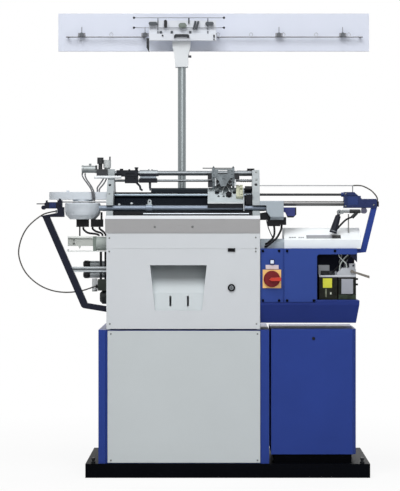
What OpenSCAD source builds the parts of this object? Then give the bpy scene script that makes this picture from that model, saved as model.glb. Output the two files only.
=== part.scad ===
/* [Base and stand] */
// how far the base runs out past the stand on the left
base_out_l = 52; // [46:1:60]
// how far the base runs out past the stand on the right
base_out_r = 404; // [396:1:420]
// depth of the base
base_d = 600; // [596:2:640]
// height of the base
base_h = 56; // [50:1:64]
// shank radius of a levelling bolt
bolt_r = 6; // [5:0.5:7]
// height of a levelling bolt over the base
bolt_rise = 22; // [18:1:28]
// width of the blue stand
stand_w = 684; // [676:2:700]
// depth of the stand
stand_d = 546; // [530:2:556]
// height of the stand
stand_h = 536; // [520:2:550]
// width of the stand's left front post
post_l = 28; // [20:1:30]
// width of the stand's right front post
post_r = 34; // [30:1:36]
// gap between a front panel and the posts beside it
panel_gap_l = 9; // [6:0.5:12]
// depth of a folded front panel
panel_t = 8; // [6:0.5:8]
// thickness of sheet steel
sheet = 2; // [1.5:0.1:2.5]

/* [Body] */
// height of the body between stand and needle bed
body_h = 448; // [440:2:464]
// depth of the body
body_d = 428; // [416:2:436]
// thickness of the body plates
body_t = 12; // [10:1:14]
// part of the body's width that the glove window takes along its top
window_share = 0.371; // [0.35:0.001:0.376]
// how much the window narrows on each side at its bottom
window_taper = 20; // [14:1:24]
// height of the glove window
window_h = 181; // [176:1:186]
// depth of the glove chute
chute_d = 114; // [100:1:116]
// height of the front band of the top cover
cover_h = 57; // [54:1:58]
// radius of the key lock
lock_r = 15; // [13:0.5:17]

/* [Needle beds] */
// height of the bed edge over the body
apex_h = 106; // [102:0.5:108]
// gap between the two beds
bed_gap = 8; // [6:0.5:10]
// how far each bed runs down and out
bed_run = 95; // [90:1:97]
// thickness of a needle bed
bed_t = 18; // [14:0.5:20]
// needle spacing
needle_pitch = 4; // [3.5:0.1:6]
// width of a needle
needle_w = 1.6; // [1.2:0.1:2]
// height of a needle over the bed
needle_h = 5; // [3:0.5:7]
// radius of a knock-over bar
bar_r = 7; // [5:0.5:7.3]
// radius of a carriage rail
rail_r = 11; // [9:0.5:11]
// radius of the upper feeder rail
feed_r = 10; // [8:0.5:10]
// radius of the lower feeder rail
feed_low_r = 5; // [4:0.5:6]

/* [Carriage] */
// width of the carriage
car_w = 148; // [140:1:150]
// clear height of the cam plate over the bed
cam_gap = 16; // [16:0.2:17]
// thickness of the cam plate
cam_t = 10; // [8:0.5:10]
// slope length of the cam plate
cam_len = 94; // [90:1:96]
// thickness of a carriage cheek
cheek_t = 10; // [6:0.5:12]
// radius of the stitch knob
knob_r = 12; // [8:0.5:13]
// width of the yarn feeder
feeder_w = 80; // [60:1:80]

/* [Left side] */
// length of the drive box
drive_box_l = 238; // [228:1:244]
// radius of the motor cover
motor_r = 72; // [70:0.5:74]
// depth of the square arm
arm_d = 34; // [28:1:34]
// radius of a take-down roller
roller_r = 13; // [9:0.5:13]
// radius of a roller's knob
roller_knob_r = 14.5; // [13:0.5:16]
// radius of the loop cable
loop_r = 2.8; // [2:0.1:3.4]
// radius of the black leads
lead_r = 4.2; // [2.5:0.1:4.5]
// radius of the air hoses
hose_r = 3; // [2:0.1:3]

/* [Right side] */
// width of the electrics cabinet
elec_w = 389; // [385:1:389]
// depth of the electrics cabinet
elec_d = 310; // [300:2:320]
// depth of the pump bay
bay_d = 170; // [150:2:180]
// width of the console
console_w = 308; // [300:1:309]
// radius of the switch knob
switch_r = 33; // [28:0.5:34]
// side of the switch plate
switch_plate_w = 74; // [70:1:76]
// radius of the lamp
lamp_r = 15; // [12:0.5:15]
// length of the lamp
lamp_l = 74; // [64:1:74]
// width of the side cabinet
side_w = 340; // [330:1:350]
// depth of the side cabinet
side_d = 418; // [400:2:440]
// height of the plinth under the side cabinet
plinth_h = 37; // [32:1:42]

/* [Yarn stand] */
// height of the mast from the stand to its head
mast_h = 1086; // [1070:2:1110]
// radius of the mast
mast_r = 17; // [14:0.5:17]
// width of the yarn panel
yarn_w = 1319; // [1300:2:1340]
// height of the yarn panel
yarn_h = 160; // [150:1:168]
// radius of the yarn guide rails
guide_r = 3; // [2.5:0.1:4]

/* [Hidden] */
$fn = 48;
fit = 0.15;
run = 0.08;
loose = 0.3;
base_w = stand_w + base_out_l + base_out_r;
stand_r = base_w / 2 - base_out_r;
panel_v = 4;
stand_l = stand_r - stand_w;
stand_z = base_h + stand_h;
body_l = stand_l + 36;
body_r = stand_r - 36;
body_w = body_r - body_l;
body_v = panel_v + panel_t;
bed_z = stand_z + body_h;
head_v = 200;
end_l = body_l - 7;
end_l2 = end_l + 27;
end_r = body_r - 30;
end_r2 = body_r;
bed_x = [end_l2 + loose, end_r - loose];
slope = sqrt(0.5);
bed_k = bed_t * slope;
bed_line = apex_h + bed_gap / 2;
cam_top = cam_gap + cam_t;
cam_line = bed_line + cam_top / slope;
car_x = [end_r - 33 - car_w, end_r - 33];
frame_x = [car_x[0] + 19, car_x[0] + 109];
rail_y = 130;
rail_z = 40;
feed_z = 184;
feed_low_z = 153.5;
slider_z = 58;
pass_y = 18;
pass_z = 204;
roller_z = [-188, -232];
console_x = 97;
arm_x = max(console_x + console_w, elec_w + 7);
lock_x = body_r - 115;
lock_z = bed_z - 279;
window_side = 0.444;
window_w = window_share * body_w;
window_x = body_l + window_side * (body_w - window_w);
window_z = bed_z - 189;
mast_x = body_l + 290;
mast_v = 476;
head_z = stand_z + mast_h;
elec_top = -122;
elec_low = -328;
cover_low = elec_low - 10;
lever_at = [370, -215];
lamp_at = [320.5, 70, 24];
lamp_tilt = 17;
rail_stop_x = end_l2 + 132;

// places the depth axis at the base's front edge
module from_front() {
  translate([0, -base_d / 2, 0]) children();
}

// left outer face of the body at bed height
module at_left() {
  translate([body_l, -base_d / 2, bed_z]) children();
}

// right outer face of the body at bed height
module at_right() {
  translate([body_r, -base_d / 2, bed_z]) children();
}

// middle of the knitting head at bed height
module at_head() {
  translate([0, head_v - base_d / 2, bed_z]) children();
}

// mast axis at the foot of its head
module at_yarn() {
  translate([mast_x, mast_v - base_d / 2, head_z]) children();
}

// front bed's upper edge, with Y up the slope and Z away from the bed
module on_bed() {
  translate([0, -bed_gap / 2, apex_h]) rotate([45, 0, 0]) children();
}

// the same shape on the front and on the rear bed
module both_beds() {
  children();
  mirror([0, 1, 0]) children();
}

module block(x, y, z) {
  translate([x[0], y[0], z[0]]) cube([x[1] - x[0], y[1] - y[0], z[1] - z[0]]);
}

module rod_x(x, y, z, r) {
  translate([x[0], y, z]) rotate([0, 90, 0]) cylinder(r = r, h = x[1] - x[0]);
}

module rod_y(x, y, z, r) {
  translate([x, y[0], z]) rotate([-90, 0, 0]) cylinder(r = r, h = y[1] - y[0]);
}

module rod_z(x, y, z, r) {
  translate([x, y, z[0]]) cylinder(r = r, h = z[1] - z[0]);
}

// an outline in depth and height, drawn out across the machine
module wall_x(x, outline) {
  translate([x[0], 0, 0]) rotate([90, 0, 90]) linear_extrude(x[1] - x[0]) polygon(outline);
}

// an outline in width and height, drawn out in depth
module wall_y(y, outline) {
  translate([0, y[1], 0]) rotate([90, 0, 0]) linear_extrude(y[1] - y[0]) polygon(outline);
}

// a pan folded from sheet, open to the rear
module folded_panel(x, z) {
  difference() {
    block(x, [panel_v, panel_v + panel_t], z);
    block([x[0] + sheet, x[1] - sheet], [panel_v + sheet, panel_v + panel_t + 1],
      [z[0] + sheet, z[1] - sheet]);
  }
}

// smooth route through hand-set points
function curve_at(p, i, t) = let (
  a = p[max(i - 1, 0)],
  b = p[i],
  c = p[min(i + 1, len(p) - 1)],
  d = p[min(i + 2, len(p) - 1)])
  0.5 * (2 * b + (c - a) * t + (2 * a - 5 * b + 4 * c - d) * t * t + (3 * b - a - 3 * c + d) * t * t * t);
function route(p, n) = concat([for (i = [0:len(p) - 2]) for (k = [0:n - 1]) curve_at(p, i, k / n)],
  [p[len(p) - 1]]);
function unit(v) = v / norm(v);
function heading(p, i) = unit(p[min(i + 1, len(p) - 1)] - p[max(i - 1, 0)]);
function ring_point(p, i, a, r) = let (
  d = heading(p, i),
  s = unit(cross(d, [0.13, 1, 0.08])),
  u = cross(s, d))
  p[i] + r * (cos(a) * s + sin(a) * u);

// a round cable along a route
module cable(points, r, n = 3, sides = 8) {
  p = route(points, n);
  m = len(p);
  skin = [for (i = [0:m - 1]) for (j = [0:sides - 1]) ring_point(p, i, 360 * j / sides, r)];
  walls = [for (i = [0:m - 2]) for (j = [0:sides - 1]) for (h = [0, 1])
    h == 0
      ? [i * sides + j, i * sides + (j + 1) % sides, (i + 1) * sides + j]
      : [i * sides + (j + 1) % sides, (i + 1) * sides + (j + 1) % sides, (i + 1) * sides + j]];
  first = [[for (j = [sides - 1:-1:0]) j]];
  last = [[for (j = [0:sides - 1]) (m - 1) * sides + j]];
  polyhedron(points = skin, faces = concat(walls, first, last));
}

// one place for each levelling bolt
module bolt_places() {
  for (sx = [-1, 1]) for (sy = [-1, 1]) translate([sx * (base_w / 2 - 30), sy * (base_d / 2 - 24),
    0]) children();
}

module base_frame() {
  color([0.03, 0.03, 0.04]) {
    difference() {
      translate([-base_w / 2, -base_d / 2, 0]) cube([base_w, base_d, base_h]);
      bolt_places() translate([0, 0, -1]) cylinder(r = bolt_r + loose, h = base_h + 2);
    }
    from_front() block([stand_r + 20, stand_r + side_w - 8], [40, side_d - 18],
      [base_h - 1, base_h + plinth_h]);
  }
}

module levelling_bolts() {
  color([0.05, 0.05, 0.06]) bolt_places() {
    cylinder(r = bolt_r, h = base_h + bolt_rise - 8);
    translate([0, 0, base_h]) cylinder(r = bolt_r + 3.5, h = 8, $fn = 6);
    translate([0, 0, base_h + bolt_rise - 8]) cylinder(r = bolt_r + 2, h = 8, $fn = 6);
  }
}

module stand_cabinet() {
  color([0.19, 0.27, 0.57]) from_front() difference() {
    block([stand_l, stand_r], [panel_v + 2, panel_v + 2 + stand_d], [base_h, stand_z]);
    block([stand_l + post_l, stand_r - post_r], [0, body_v], [base_h - 1, stand_z + 1]);
  }
}

module lower_front_panel() {
  color([0.78, 0.79, 0.81]) from_front()
    folded_panel([stand_l + post_l + panel_gap_l, stand_r - post_r - 2], [base_h + 4, stand_z - 4]);
}

module body_frame() {
  beam_y = [-75, -25];
  under = bed_line - 2 * bed_k;
  inner = [body_l + body_t, body_r - body_t];
  color([0.7, 0.72, 0.74]) {
    difference() {
      from_front() {
        for (x = [body_l, body_r - body_t]) wall_x([x, x + body_t], [
          [body_v, stand_z], [body_v, bed_z - 24], [body_v + 34, bed_z],
          [body_v + body_d, bed_z], [body_v + body_d, stand_z]]);
        block(inner, [body_v + body_d - body_t, body_v + body_d], [stand_z, bed_z]);
      }
      for (z = roller_z) at_left() rod_x([-1, body_r - body_l + 1], head_v, z, roller_r + run);
    }
    at_head() both_beds() {
      block(inner, beam_y, [-40, 0]);
      wall_x(bed_x, [[beam_y[0], -1], [beam_y[1], -1],
        [beam_y[1], beam_y[1] + under], [beam_y[0], beam_y[0] + under]]);
    }
  }
}

function window_at(grow, z) = let (t = window_taper * z / window_h)
  [window_x + t - grow, window_x + window_w - t + grow];

// the window's outline from its top edge down
module window_prism(y, grow) {
  top = window_at(grow, -grow);
  low = window_at(grow, window_h + grow);
  wall_y(y, [[top[0], window_z + grow], [top[1], window_z + grow],
    [low[1], window_z - window_h - grow], [low[0], window_z - window_h - grow]]);
}

module upper_front_panel() {
  x = [body_l - 4, body_r - 1];
  seam_z = bed_z - 124;
  color([0.78, 0.79, 0.81]) from_front() difference() {
    folded_panel(x, [stand_z + 4, bed_z - 62]);
    block([x[0] - 1, x[1] + 1], [0, panel_v + 0.6], [seam_z, seam_z + 1.2]);
    window_prism([0, panel_v + panel_t], 0);
    lock_hole();
    catch_hole();
  }
}

// sloping sheet that brings each finished glove out to the front
module glove_chute() {
  low = window_z - window_h;
  fold_z = low + 70;
  back = panel_v + sheet;
  inside = [[0, low], [back + 6, low], [back + 16, fold_z], [back + chute_d, window_z + 2],
    [back + chute_d, window_z + 40],
    [0, window_z + 40]];
  outside = [[back, low - sheet], [back + 8, low - sheet], [back + 18.4, fold_z - 0.6],
    [back + chute_d + 2.6, window_z], [back + chute_d + 2.6, window_z + 14], [back, window_z + 14]];
  wide = [window_x - 20, window_x + window_w + 20];
  color([0.74, 0.75, 0.78]) from_front() difference() {
    intersection() {
      wall_x(wide, outside);
      window_prism([back, back + chute_d + 4], 14);
      union() {
        window_prism([back, back + chute_d + 4], sheet);
        window_prism([back, back + sheet], 14);
      }
    }
    intersection() {
      wall_x([wide[0] - 1, wide[1] + 1], inside);
      tall_window([0, back + chute_d + 1]);
    }
    for (share = [0.34, 0.65]) block([window_x + share * window_w, window_x + share * window_w + 8],
      [0, back + 40], [low + 16, low + 57]);
  }
}

// the window's side planes carried on above its top edge
module tall_window(y) {
  low = window_at(0, window_h);
  high = window_at(0, -40);
  wall_y(y, [[low[0], window_z - window_h], [high[0], window_z + 40], [high[1], window_z + 40], [low[1],
    window_z - window_h]]);
}

module lock_hole() {
  rod_y(lock_x, [0, 20], lock_z, lock_r - 4);
}

module catch_hole() {
  block([lock_x - 13, lock_x + 13], [0, 20], [bed_z - 133, bed_z - 123]);
}

// finger catch and key lock of the door panel
module panel_lock() {
  x = [lock_x - 15, lock_x + 15];
  z = [bed_z - 135, bed_z - 121];
  color([0.05, 0.05, 0.05]) from_front() {
    difference() {
      union() {
        block(x, [panel_v - 3, panel_v], z);
        block([x[0] + 2 + fit, x[1] - 2 - fit], [panel_v, panel_v + 5], [z[0] + 2 + fit, z[1] - 2 - fit]);
      }
      block([x[0] + 5, x[1] - 5], [panel_v - 4, panel_v + 3], [z[0] + 4, z[1] - 4]);
    }
    difference() {
      union() {
        rod_y(lock_x, [panel_v - 5, panel_v], lock_z, lock_r);
        rod_y(lock_x, [panel_v, panel_v + 14], lock_z, lock_r - 4 - fit);
      }
      rod_y(lock_x, [-10, panel_v + 11], lock_z, lock_r - 6);
    }
  }
}

module lock_barrel() {
  color([0.8, 0.8, 0.82]) from_front() difference() {
    rod_y(lock_x, [panel_v - 6, panel_v + 10.8], lock_z, lock_r - 6 - run);
    block([lock_x - 1, lock_x + 1], [-10, panel_v + 3], [lock_z - 6, lock_z + 6]);
  }
}

module top_cover() {
  low = bed_z - 61;
  lip = low + cover_h;
  rear = body_v + 30;
  color([0.66, 0.67, 0.68]) from_front() wall_x([body_l - 9, body_r], [
    [panel_v + 2, low], [0, lip], [rear, lip + 14], [rear, bed_z], [rear - sheet, bed_z],
    [rear - sheet, lip + 14 - sheet * 1.4], [sheet * 1.1, lip - sheet * 0.8],
      [panel_v + 2 + sheet * 1.1, low + sheet],
    [body_v, low + sheet], [body_v, low]]);
}

module front_guard() {
  color([0.06, 0.06, 0.07]) at_head() {
    block(bed_x, [-148, -144], [0, 26]);
    rod_x([end_l2 + 122, end_r - 14], -150, 17, 3);
  }
}

module needle_beds() {
  color([0.1, 0.11, 0.13]) at_head() both_beds() wall_x(bed_x, [
    [-bed_gap / 2, apex_h], [-bed_gap / 2 - bed_run, apex_h - bed_run],
    [-bed_gap / 2 - bed_run + bed_k, apex_h - bed_run - bed_k], [-bed_gap / 2, apex_h - 2 * bed_k]]);
}

// a row of needles, joined by the thin sheet that holds them down
module needles() {
  count = floor((bed_x[1] - bed_x[0] - 12) / needle_pitch);
  left = (bed_x[0] + bed_x[1] - count * needle_pitch) / 2;
  teeth = [for (i = [0:count - 1]) for (q = [[0, 1], [0, needle_h], [needle_w, needle_h], [needle_w, 1]])
    [left + i * needle_pitch + q[0], q[1]]];
  color([0.55, 0.56, 0.58]) at_head() both_beds() on_bed()
    wall_y([-bed_run / slope + 14, -40], concat([[left + count * needle_pitch, 1],
      [left + count * needle_pitch, 0], [left, 0]], teeth));
}

module knockover_bars() {
  color([0.8, 0.81, 0.83]) at_head() both_beds() on_bed() rod_x(bed_x, -26, bar_r + fit, bar_r);
}

module carriage_rails() {
  color([0.5, 0.51, 0.54]) at_head() both_beds() difference() {
    union() {
      rod_x([end_l - 30, end_r2 + 24.7], -rail_y, rail_z, rail_r);
      rod_x([rail_stop_x, rail_stop_x + 26], -rail_y, rail_z, rail_r + 5);
      block([rail_stop_x + 7, rail_stop_x + 23], [-rail_y - 6, -rail_y + 6], [rail_z, rail_z + 27]);
      rod_y(rail_stop_x + 15, [-rail_y - 6, -rail_y + 6], rail_z + 27, 8);
    }
    rod_y(rail_stop_x + 15, [-rail_y - 7, -rail_y + 7], rail_z + 27, 3);
    rod_x([end_l - 31, end_r2 + 26], -rail_y, rail_z, rail_r - 3);
  }
}

// slots, open outwards, in which the carriage rails lie
module rail_slots(x) {
  both_beds() {
    rod_x(x, -rail_y, rail_z, rail_r + fit);
    block(x, [-rail_y - 40, -rail_y], [rail_z - rail_r - fit, rail_z + rail_r + fit]);
  }
}

module end_bores(x) {
  rail_slots(x);
  rod_x(x, 0, feed_z, feed_r + fit);
  rod_x(x, 0, feed_low_z, feed_low_r + fit);
}

module left_end_plate() {
  color([0.76, 0.77, 0.78]) at_head() difference() {
    wall_x([end_l, end_l2], [[-154, 0], [-154, 60], [-50, 156], [-16, 156], [-16, 200],
      [16, 200], [16, 156], [50, 156], [154, 60], [154, 0]]);
    end_bores([end_l - 1, end_l2 + 1]);
    rod_x([end_l2 - 8, end_l2 + 1], -60, 96, 6);
    rod_x([end_l2 - 8, end_l2 + 1], -60, 60, 6);
  }
}

module right_end_plate() {
  color([0.76, 0.77, 0.78]) at_head() difference() {
    wall_x([end_r, end_r2], [[-154, 0], [-154, 60], [-90, 106], [-50, 196], [50, 196], [90, 106],
      [154, 60], [154, 0]]);
    rail_slots([end_r - 1, end_r2 + 1]);
    rod_x([end_r - 1, end_r + 12 + fit], 0, feed_z, feed_r + fit);
    rod_x([end_r - 1, end_r + 12 + fit], 0, feed_low_z, feed_low_r + fit);
  }
}

module feeder_rails() {
  color([0.62, 0.63, 0.65]) at_head() {
    rod_x([end_l - 31, end_r + 12], 0, feed_z, feed_r);
    rod_x([end_r - 60, end_r - loose], 0, feed_z, feed_r + 1.6);
    rod_x([end_l - 1, end_r + 12], 0, feed_low_z, feed_low_r);
    for (i = [0:4]) rod_x([end_r - 46 + 9 * i, end_r - 42 + 9 * i], 0, feed_low_z, feed_low_r + 1.5);
  }
}

module belt_cover() {
  foot = body_v + body_d - head_v;
  color([0.05, 0.06, 0.08]) at_head() {
    wall_x([end_l + 170, end_r], [[166, 108], [200, 108], [200, 119], [193, 126], [173, 126], [166, 119]]);
    for (x = [end_l + 190, end_r - 40]) wall_x([x, x + 20], [[foot - 12, 0], [foot, 0], [foot, 119],
      [200, 119], [200, 108], [foot - 12, 108]]);
  }
}

// carriage cheeks and the plates between them, standing on the cam plates
module carriage_frame() {
  foot_y = 30;
  cheek_top = pass_z + 2;
  cheek = [[-foot_y, cam_line - foot_y], [-50, 150], [-50, cheek_top], [50, cheek_top], [50, 150],
    [foot_y, cam_line - foot_y], [pass_y, cam_line - pass_y], [pass_y, pass_z], [-pass_y, pass_z],
    [-pass_y, cam_line - pass_y]];
  eye_x = [frame_x[0] + 20, frame_x[1] - 18];
  color([0.66, 0.68, 0.7]) at_head() {
    for (x = [frame_x[0], frame_x[1] - cheek_t]) {
      wall_x([x, x + cheek_t], cheek);
      wall_y([-50, 50], [[x, cheek_top - 1], [x + cheek_t, cheek_top - 1], [x + cheek_t / 2, cheek_top + 7]]);
    }
    rod_x([car_x[0] - 21, frame_x[1] - 6], -36, pass_z - 0.5, 2);
    difference() {
      union() {
        wall_y([-58, -50], [[frame_x[0] - 2, 168], [frame_x[0] - 2, 200], [frame_x[1] - 2, 200],
          [frame_x[1] - 2, 166],
          [frame_x[1] - 18, 160], [frame_x[1] - 28, 146], [frame_x[1] - 34, 129], [frame_x[0] + 34, 129],
          [frame_x[0] + 28, 146], [frame_x[0] + 16, 162]]);
        for (x = eye_x) rod_y(x, [-54, -45], 147, 10.5);
      }
      block([frame_x[0] + 23, frame_x[0] + 61], [-60, -49], [179, 195]);
      for (x = eye_x) rod_y(x, [-60, -44], 147, 7.5);
      for (x = [frame_x[0] + 6, frame_x[1] - 10]) for (z = [176, 190]) rod_y(x, [-60, -55], z, 2.5);
      rod_y((frame_x[0] + frame_x[1]) / 2, [-60, -55], 158, 5);
    }
    block([frame_x[0] + 2, frame_x[1] - 2], [-46, -40], [130, 168]);
    for (x = [frame_x[0] + 13, frame_x[1] + 3]) rod_z(x, -53, [130, 164], 3.5);
    block([car_x[0], frame_x[0] + 1], [-56, -22], [158, 178]);
    block([frame_x[1] - 1, frame_x[1] + 20], [-56, -22], [158, 178]);
    block([car_x[0] + 1, frame_x[0] + 1], [-52, -26], [126, 148]);
  }
}

// sloping cam plates with their foot lips, the stitch dial's ring and the tension block
module cam_plates() {
  face = [cam_gap, cam_top];
  cut = [cam_gap - 1, cam_top + 1];
  dial = [(car_x[0] + car_x[1]) / 2 + 1, -28];
  color([0.78, 0.8, 0.83]) at_head() {
    both_beds() {
      on_bed() difference() {
        block(car_x, [-cam_len, 0], face);
        for (x = [[car_x[0] + 29, car_x[0] + 47], [car_x[0] + 102, car_x[0] + 115]]) {
          block(x, [-32, -11], cut);
          translate([(x[0] + x[1]) / 2, -32, cut[0]]) cylinder(r = (x[1] - x[0]) / 2, h = cut[1] - cut[0]);
        }
        translate([(car_x[0] + car_x[1]) / 2 + 12, -46, cut[0]]) cylinder(r = 5 + run, h = cut[1] - cut[0]);
      }
      block(car_x, [-122, -82], [slider_z, slider_z + 6]);
    }
    on_bed() {
      for (x = [car_x[0] + 44, car_x[0] + 65]) translate([x, -52, cam_top - 1]) cylinder(r = 4, h = 4);
      difference() {
        translate([dial[0], dial[1], cam_top - 1]) cylinder(r = 27, h = 5);
        translate([dial[0], dial[1], cam_top - 2]) cylinder(r = 19, h = 7);
        block([dial[0] - 28, dial[0] + 28], [dial[1] - 28, dial[1]], [cam_top - 2, cam_top + 5]);
      }
      translate([dial[0], dial[1], cam_top - 1]) cylinder(r = 8, h = 4);
      difference() {
        block([frame_x[1] + 7, car_x[1] - 5], [-66, 2], [cam_top - 1, cam_top + 14]);
        block([frame_x[1] + 18, frame_x[1] + 21], [-67, 3], [cam_top + 9, cam_top + 15]);
        translate([car_x[1] - 12, -22, cam_top + 6]) cylinder(r = 5, h = 10);
        translate([car_x[1] - 11, -54, cam_top + 8]) cylinder(r = 3, h = 10);
      }
    }
  }
}

// stitch knob on its spindle in the front cam plate
module stitch_knob() {
  color([0.05, 0.06, 0.06]) at_head() on_bed() translate([(car_x[0] + car_x[1]) / 2 + 12, -46, cam_top]) {
    translate([0, 0, loose]) rotate_extrude() polygon([[0, 0], [knob_r, 0], [knob_r, 9],
      [knob_r - 3, 13], [0, 14]]);
    translate([0, 0, 2 - cam_t]) cylinder(r = 5, h = cam_t);
  }
}

module carriage_sliders() {
  color([0.04, 0.05, 0.06]) at_head() both_beds() difference() {
    block(car_x, [-rail_y - 20, -rail_y + 22], [rail_z + 1, slider_z]);
    rod_x([car_x[0] - 1, car_x[1] + 1], -rail_y, rail_z, rail_r + fit);
  }
  color([0.8, 0.8, 0.82]) at_head() rod_z(car_x[1] - 2, -rail_y - 21.5, [rail_z - 12, rail_z + 44], 2);
}

module carriage_stops() {
  color([0.05, 0.06, 0.06]) at_head() {
    block([end_r - 26, end_r], [-138, -92], [54, 95]);
    rod_x([end_r - 30, end_r], -66, 118, 12);
    rod_x([end_r - 31, end_r], -104, 82, 3);
    block([end_r - 20, end_r + 10], [-8, 8], [196, 203]);
  }
}

// sliding feeder that carries one yarn, with its finger over the needles
module yarn_feeder() {
  x = [end_l2 + 100, end_l2 + 100 + feeder_w];
  mid = x[0] + 46;
  color([0.12, 0.13, 0.14]) at_head() {
    difference() {
      union() {
        block([x[0], x[1] - 6], [-13, 13], [145, 163]);
        block([x[0], x[1]], [-13, 13], [172, 182]);
        block([x[0] + 4, x[1] - 10], [-11, 11], [162, 173]);
        rod_x([x[0] + 2, x[1] - 4], 0, feed_z, feed_r + 3);
        block([mid - 14, mid + 14], [-9, 9], [190, 197]);
        block([mid - 9, mid + 9], [-7, 7], [196, 200]);
      }
      rod_x([x[0] - 1, x[1] + 1], 0, feed_z, feed_r + fit);
      rod_x([x[0] - 1, x[1] + 1], 0, feed_low_z, feed_low_r + fit);
      block([mid - 4, mid + 4], [-14, 14], [195, 201]);
      for (k = [0.2, 0.75]) rod_y(x[0] + k * feeder_w, [-14, -10], 156, 3);
    }
    wall_y([-4, 4], [[mid - 7, 147], [mid + 3, 147], [mid + 3, 124], [mid + 1, 112], [mid - 3, 112],
      [mid - 6, 124]]);
  }
}

// fixed block at the rail's left end, with its knobs and bent yarn finger
module feeder_block() {
  x = [end_l2 + 22, end_l2 + 96];
  color([0.1, 0.11, 0.12]) at_head() {
    difference() {
      union() {
        block([x[0] - 14, x[1]], [-24, 24], [170, 196]);
        block([x[0] + 20, x[1]], [-22, 22], [143, 171]);
        rod_z(x[1] - 7, -8, [195, 206], 6);
        rod_z(x[1] - 7, -8, [203, 208], 8);
        rod_z(x[0] + 6, -8, [195, 202], 7);
        rod_z(x[0] + 38, -12, [195, 200], 4);
      }
      rod_x([x[0] - 15, x[1] + 1], 0, feed_z, feed_r + fit);
      rod_x([x[0] - 15, x[1] + 1], 0, feed_low_z, feed_low_r + fit);
      block([x[0] + 24, x[1] - 16], [-25, -21], [176, 182]);
      block([x[0] - 15, x[0] + 8], [-25, -20], [169, 178]);
      for (k = [28, 60]) rod_y(x[0] + k, [-25, -19], 160, 4);
    }
    wall_y([-4, 4], [[x[1] - 12, 144], [x[1], 144], [x[1] + 11, 133], [x[1] + 13, 122], [x[1] + 20, 116],
      [x[1] + 16, 110], [x[1] + 6, 116], [x[1] + 3, 129]]);
  }
}

// air cylinder, valve and filter on the left end of the feeder rail
module air_unit() {
  x = end_l - 46;
  color([0.55, 0.57, 0.6]) at_head() {
    difference() {
      block([x, end_l - 2], [-25, 25], [168, 200]);
      rod_x([end_l - 31 - fit, end_l], 0, feed_z, feed_r + fit);
    }
    rod_x([x - 56, x - 4], 0, 200, 15);
    rod_x([x - 62, x - 54], 0, 200, 16.5);
    rod_x([x - 6, x + 1], 0, 200, 16.5);
    rod_z(x - 28, 0, [213, 223], 5);
    rod_z(x + 14, 0, [200, 222], 8);
    rod_z(x + 14, 0, [222, 248], 13);
    rod_z(x + 42, 0, [200, 206], 12);
    rod_z(x + 42, 0, [206, 238], 15.5);
    rod_z(x + 53, 0, [237, 252], 3);
    rod_x([x - 9, end_l + 55], -30, 167, 6);
  }
}

// air hoses, motor leads, and the plugs and leads of the racking drive
module leads() {
  color([0.06, 0.06, 0.07]) {
    at_left() {
      cable([[-113, 200, 183.4], [-113, 198, 175], [-104, 164, 160], [-86, 126, 138],
        [-70, 104, 114], [-65, 101, 88], [-65, 104, 70], [-65, 104, 61.6]], hose_r);
      cable([[-101, 200, 183.4], [-101, 197, 174], [-92, 162, 156], [-76, 124, 136],
        [-62, 102, 112], [-58, 100, 88], [-58, 107, 70], [-58, 107, 61.6]], hose_r);
      cable([[-26, 182, 167.4], [-26, 181, 160], [-36, 154, 142], [-47, 130, 124], [-47, 126, 114],
        [-47, 126, 106.6]], hose_r);
      cable([[-14, 182, 167.4], [-14, 181, 159], [-24, 154, 138], [-36, 130, 122], [-39, 122, 114],
        [-39, 122, 106.6]], hose_r);
      cable([[-104, 142, -36.6], [-104, 141, -46], [-86, 134, -60], [-56, 122, -64], [-42, 112, -68],
        [-40, 110, -72.4]], lead_r);
      cable([[-66, 130, -36.6], [-66, 129, -44], [-52, 118, -54], [-32, 104, -60], [-25, 100, -67],
        [-25, 100, -72.4]], lead_r);
      cable([[-38, 132, -36.6], [-37, 132, -44], [-22, 126, -56], [-14, 120, -66], [-14, 120, -72.4]],
        lead_r);
    }
    at_right() {
      wall_y([55, 95], [[1, -8], [41, -8], [41, 4], [26, 24], [1, 20]]);
      block([31, 82], [55, 110], [-33, -8]);
      block([81, 106], [60, 110], [-28, -8]);
      block([96, 106], [60, 110], [-9, 4]);
      cable([[57, 62, -32], [58.5, 58, -50], [57, 48, -68], [49, 38, -84], [36, 32, -96], [27, 33, -102.5],
        [23, 39.5, -104]], lead_r);
      cable([[88, 68, -27], [86, 62, -44], [78, 50, -62], [66, 36, -81], [48, 24, -97], [33, 21, -109],
        [24, 26, -114.3], [21, 39.5, -114.6]], lead_r);
      cable([[27, 50, -8.6], [28, 50, -18], [34, 50, -40], [42, 52, -60], [50, 62, -76], [51, 68, -83.4]], 2);
      cable([[342, 82, -199.4], [342, 82, -190], [350, 84, -175], [354, 86, -160], [354, 86, -146.6]], 4);
      cable([[326, 90, -200.4], [326, 90, -192], [322, 92, -176], [330, 94, -160], [330, 94, -146.6]], 3);
      cable([[296, 60, -221.4], [297, 60, -214], [318, 58, -194], [346, 58, -168], [362, 60, -154],
        [364, 60, -146.6]], 4);
    }
  }
}

module drive_box() {
  r = 50;
  color([0.86, 0.87, 0.9]) at_left() {
    translate([0, 0, 75]) linear_extrude(31) union() {
      translate([r - 7 - drive_box_l, 110]) square([drive_box_l - r, 2 * r]);
      translate([r - 7 - drive_box_l, 110 + r]) circle(r = r);
    }
    rod_z(-168, 140, [106, 112], 6);
  }
}

module motor_cover() {
  color([0.84, 0.86, 0.9]) at_left() translate([-108, 150, 0]) rotate_extrude()
    polygon([[0, -5], [motor_r - 20, -5], [motor_r - 3, 13], [motor_r, 26], [motor_r, 58],
      [motor_r - 3, 61], [40, 61], [40, 75], [0, 75]]);
}

module drive_motor() {
  color([0.05, 0.05, 0.06]) at_left() {
    block([-132, -83], [120, 165], [-36, -5]);
    rod_z(-119, 135, [-73, -36], 3);
    block([-73, -24], [112, 150], [-36, -5]);
    block([-34, -26], [118, 130], [-5, 24]);
  }
}

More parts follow.
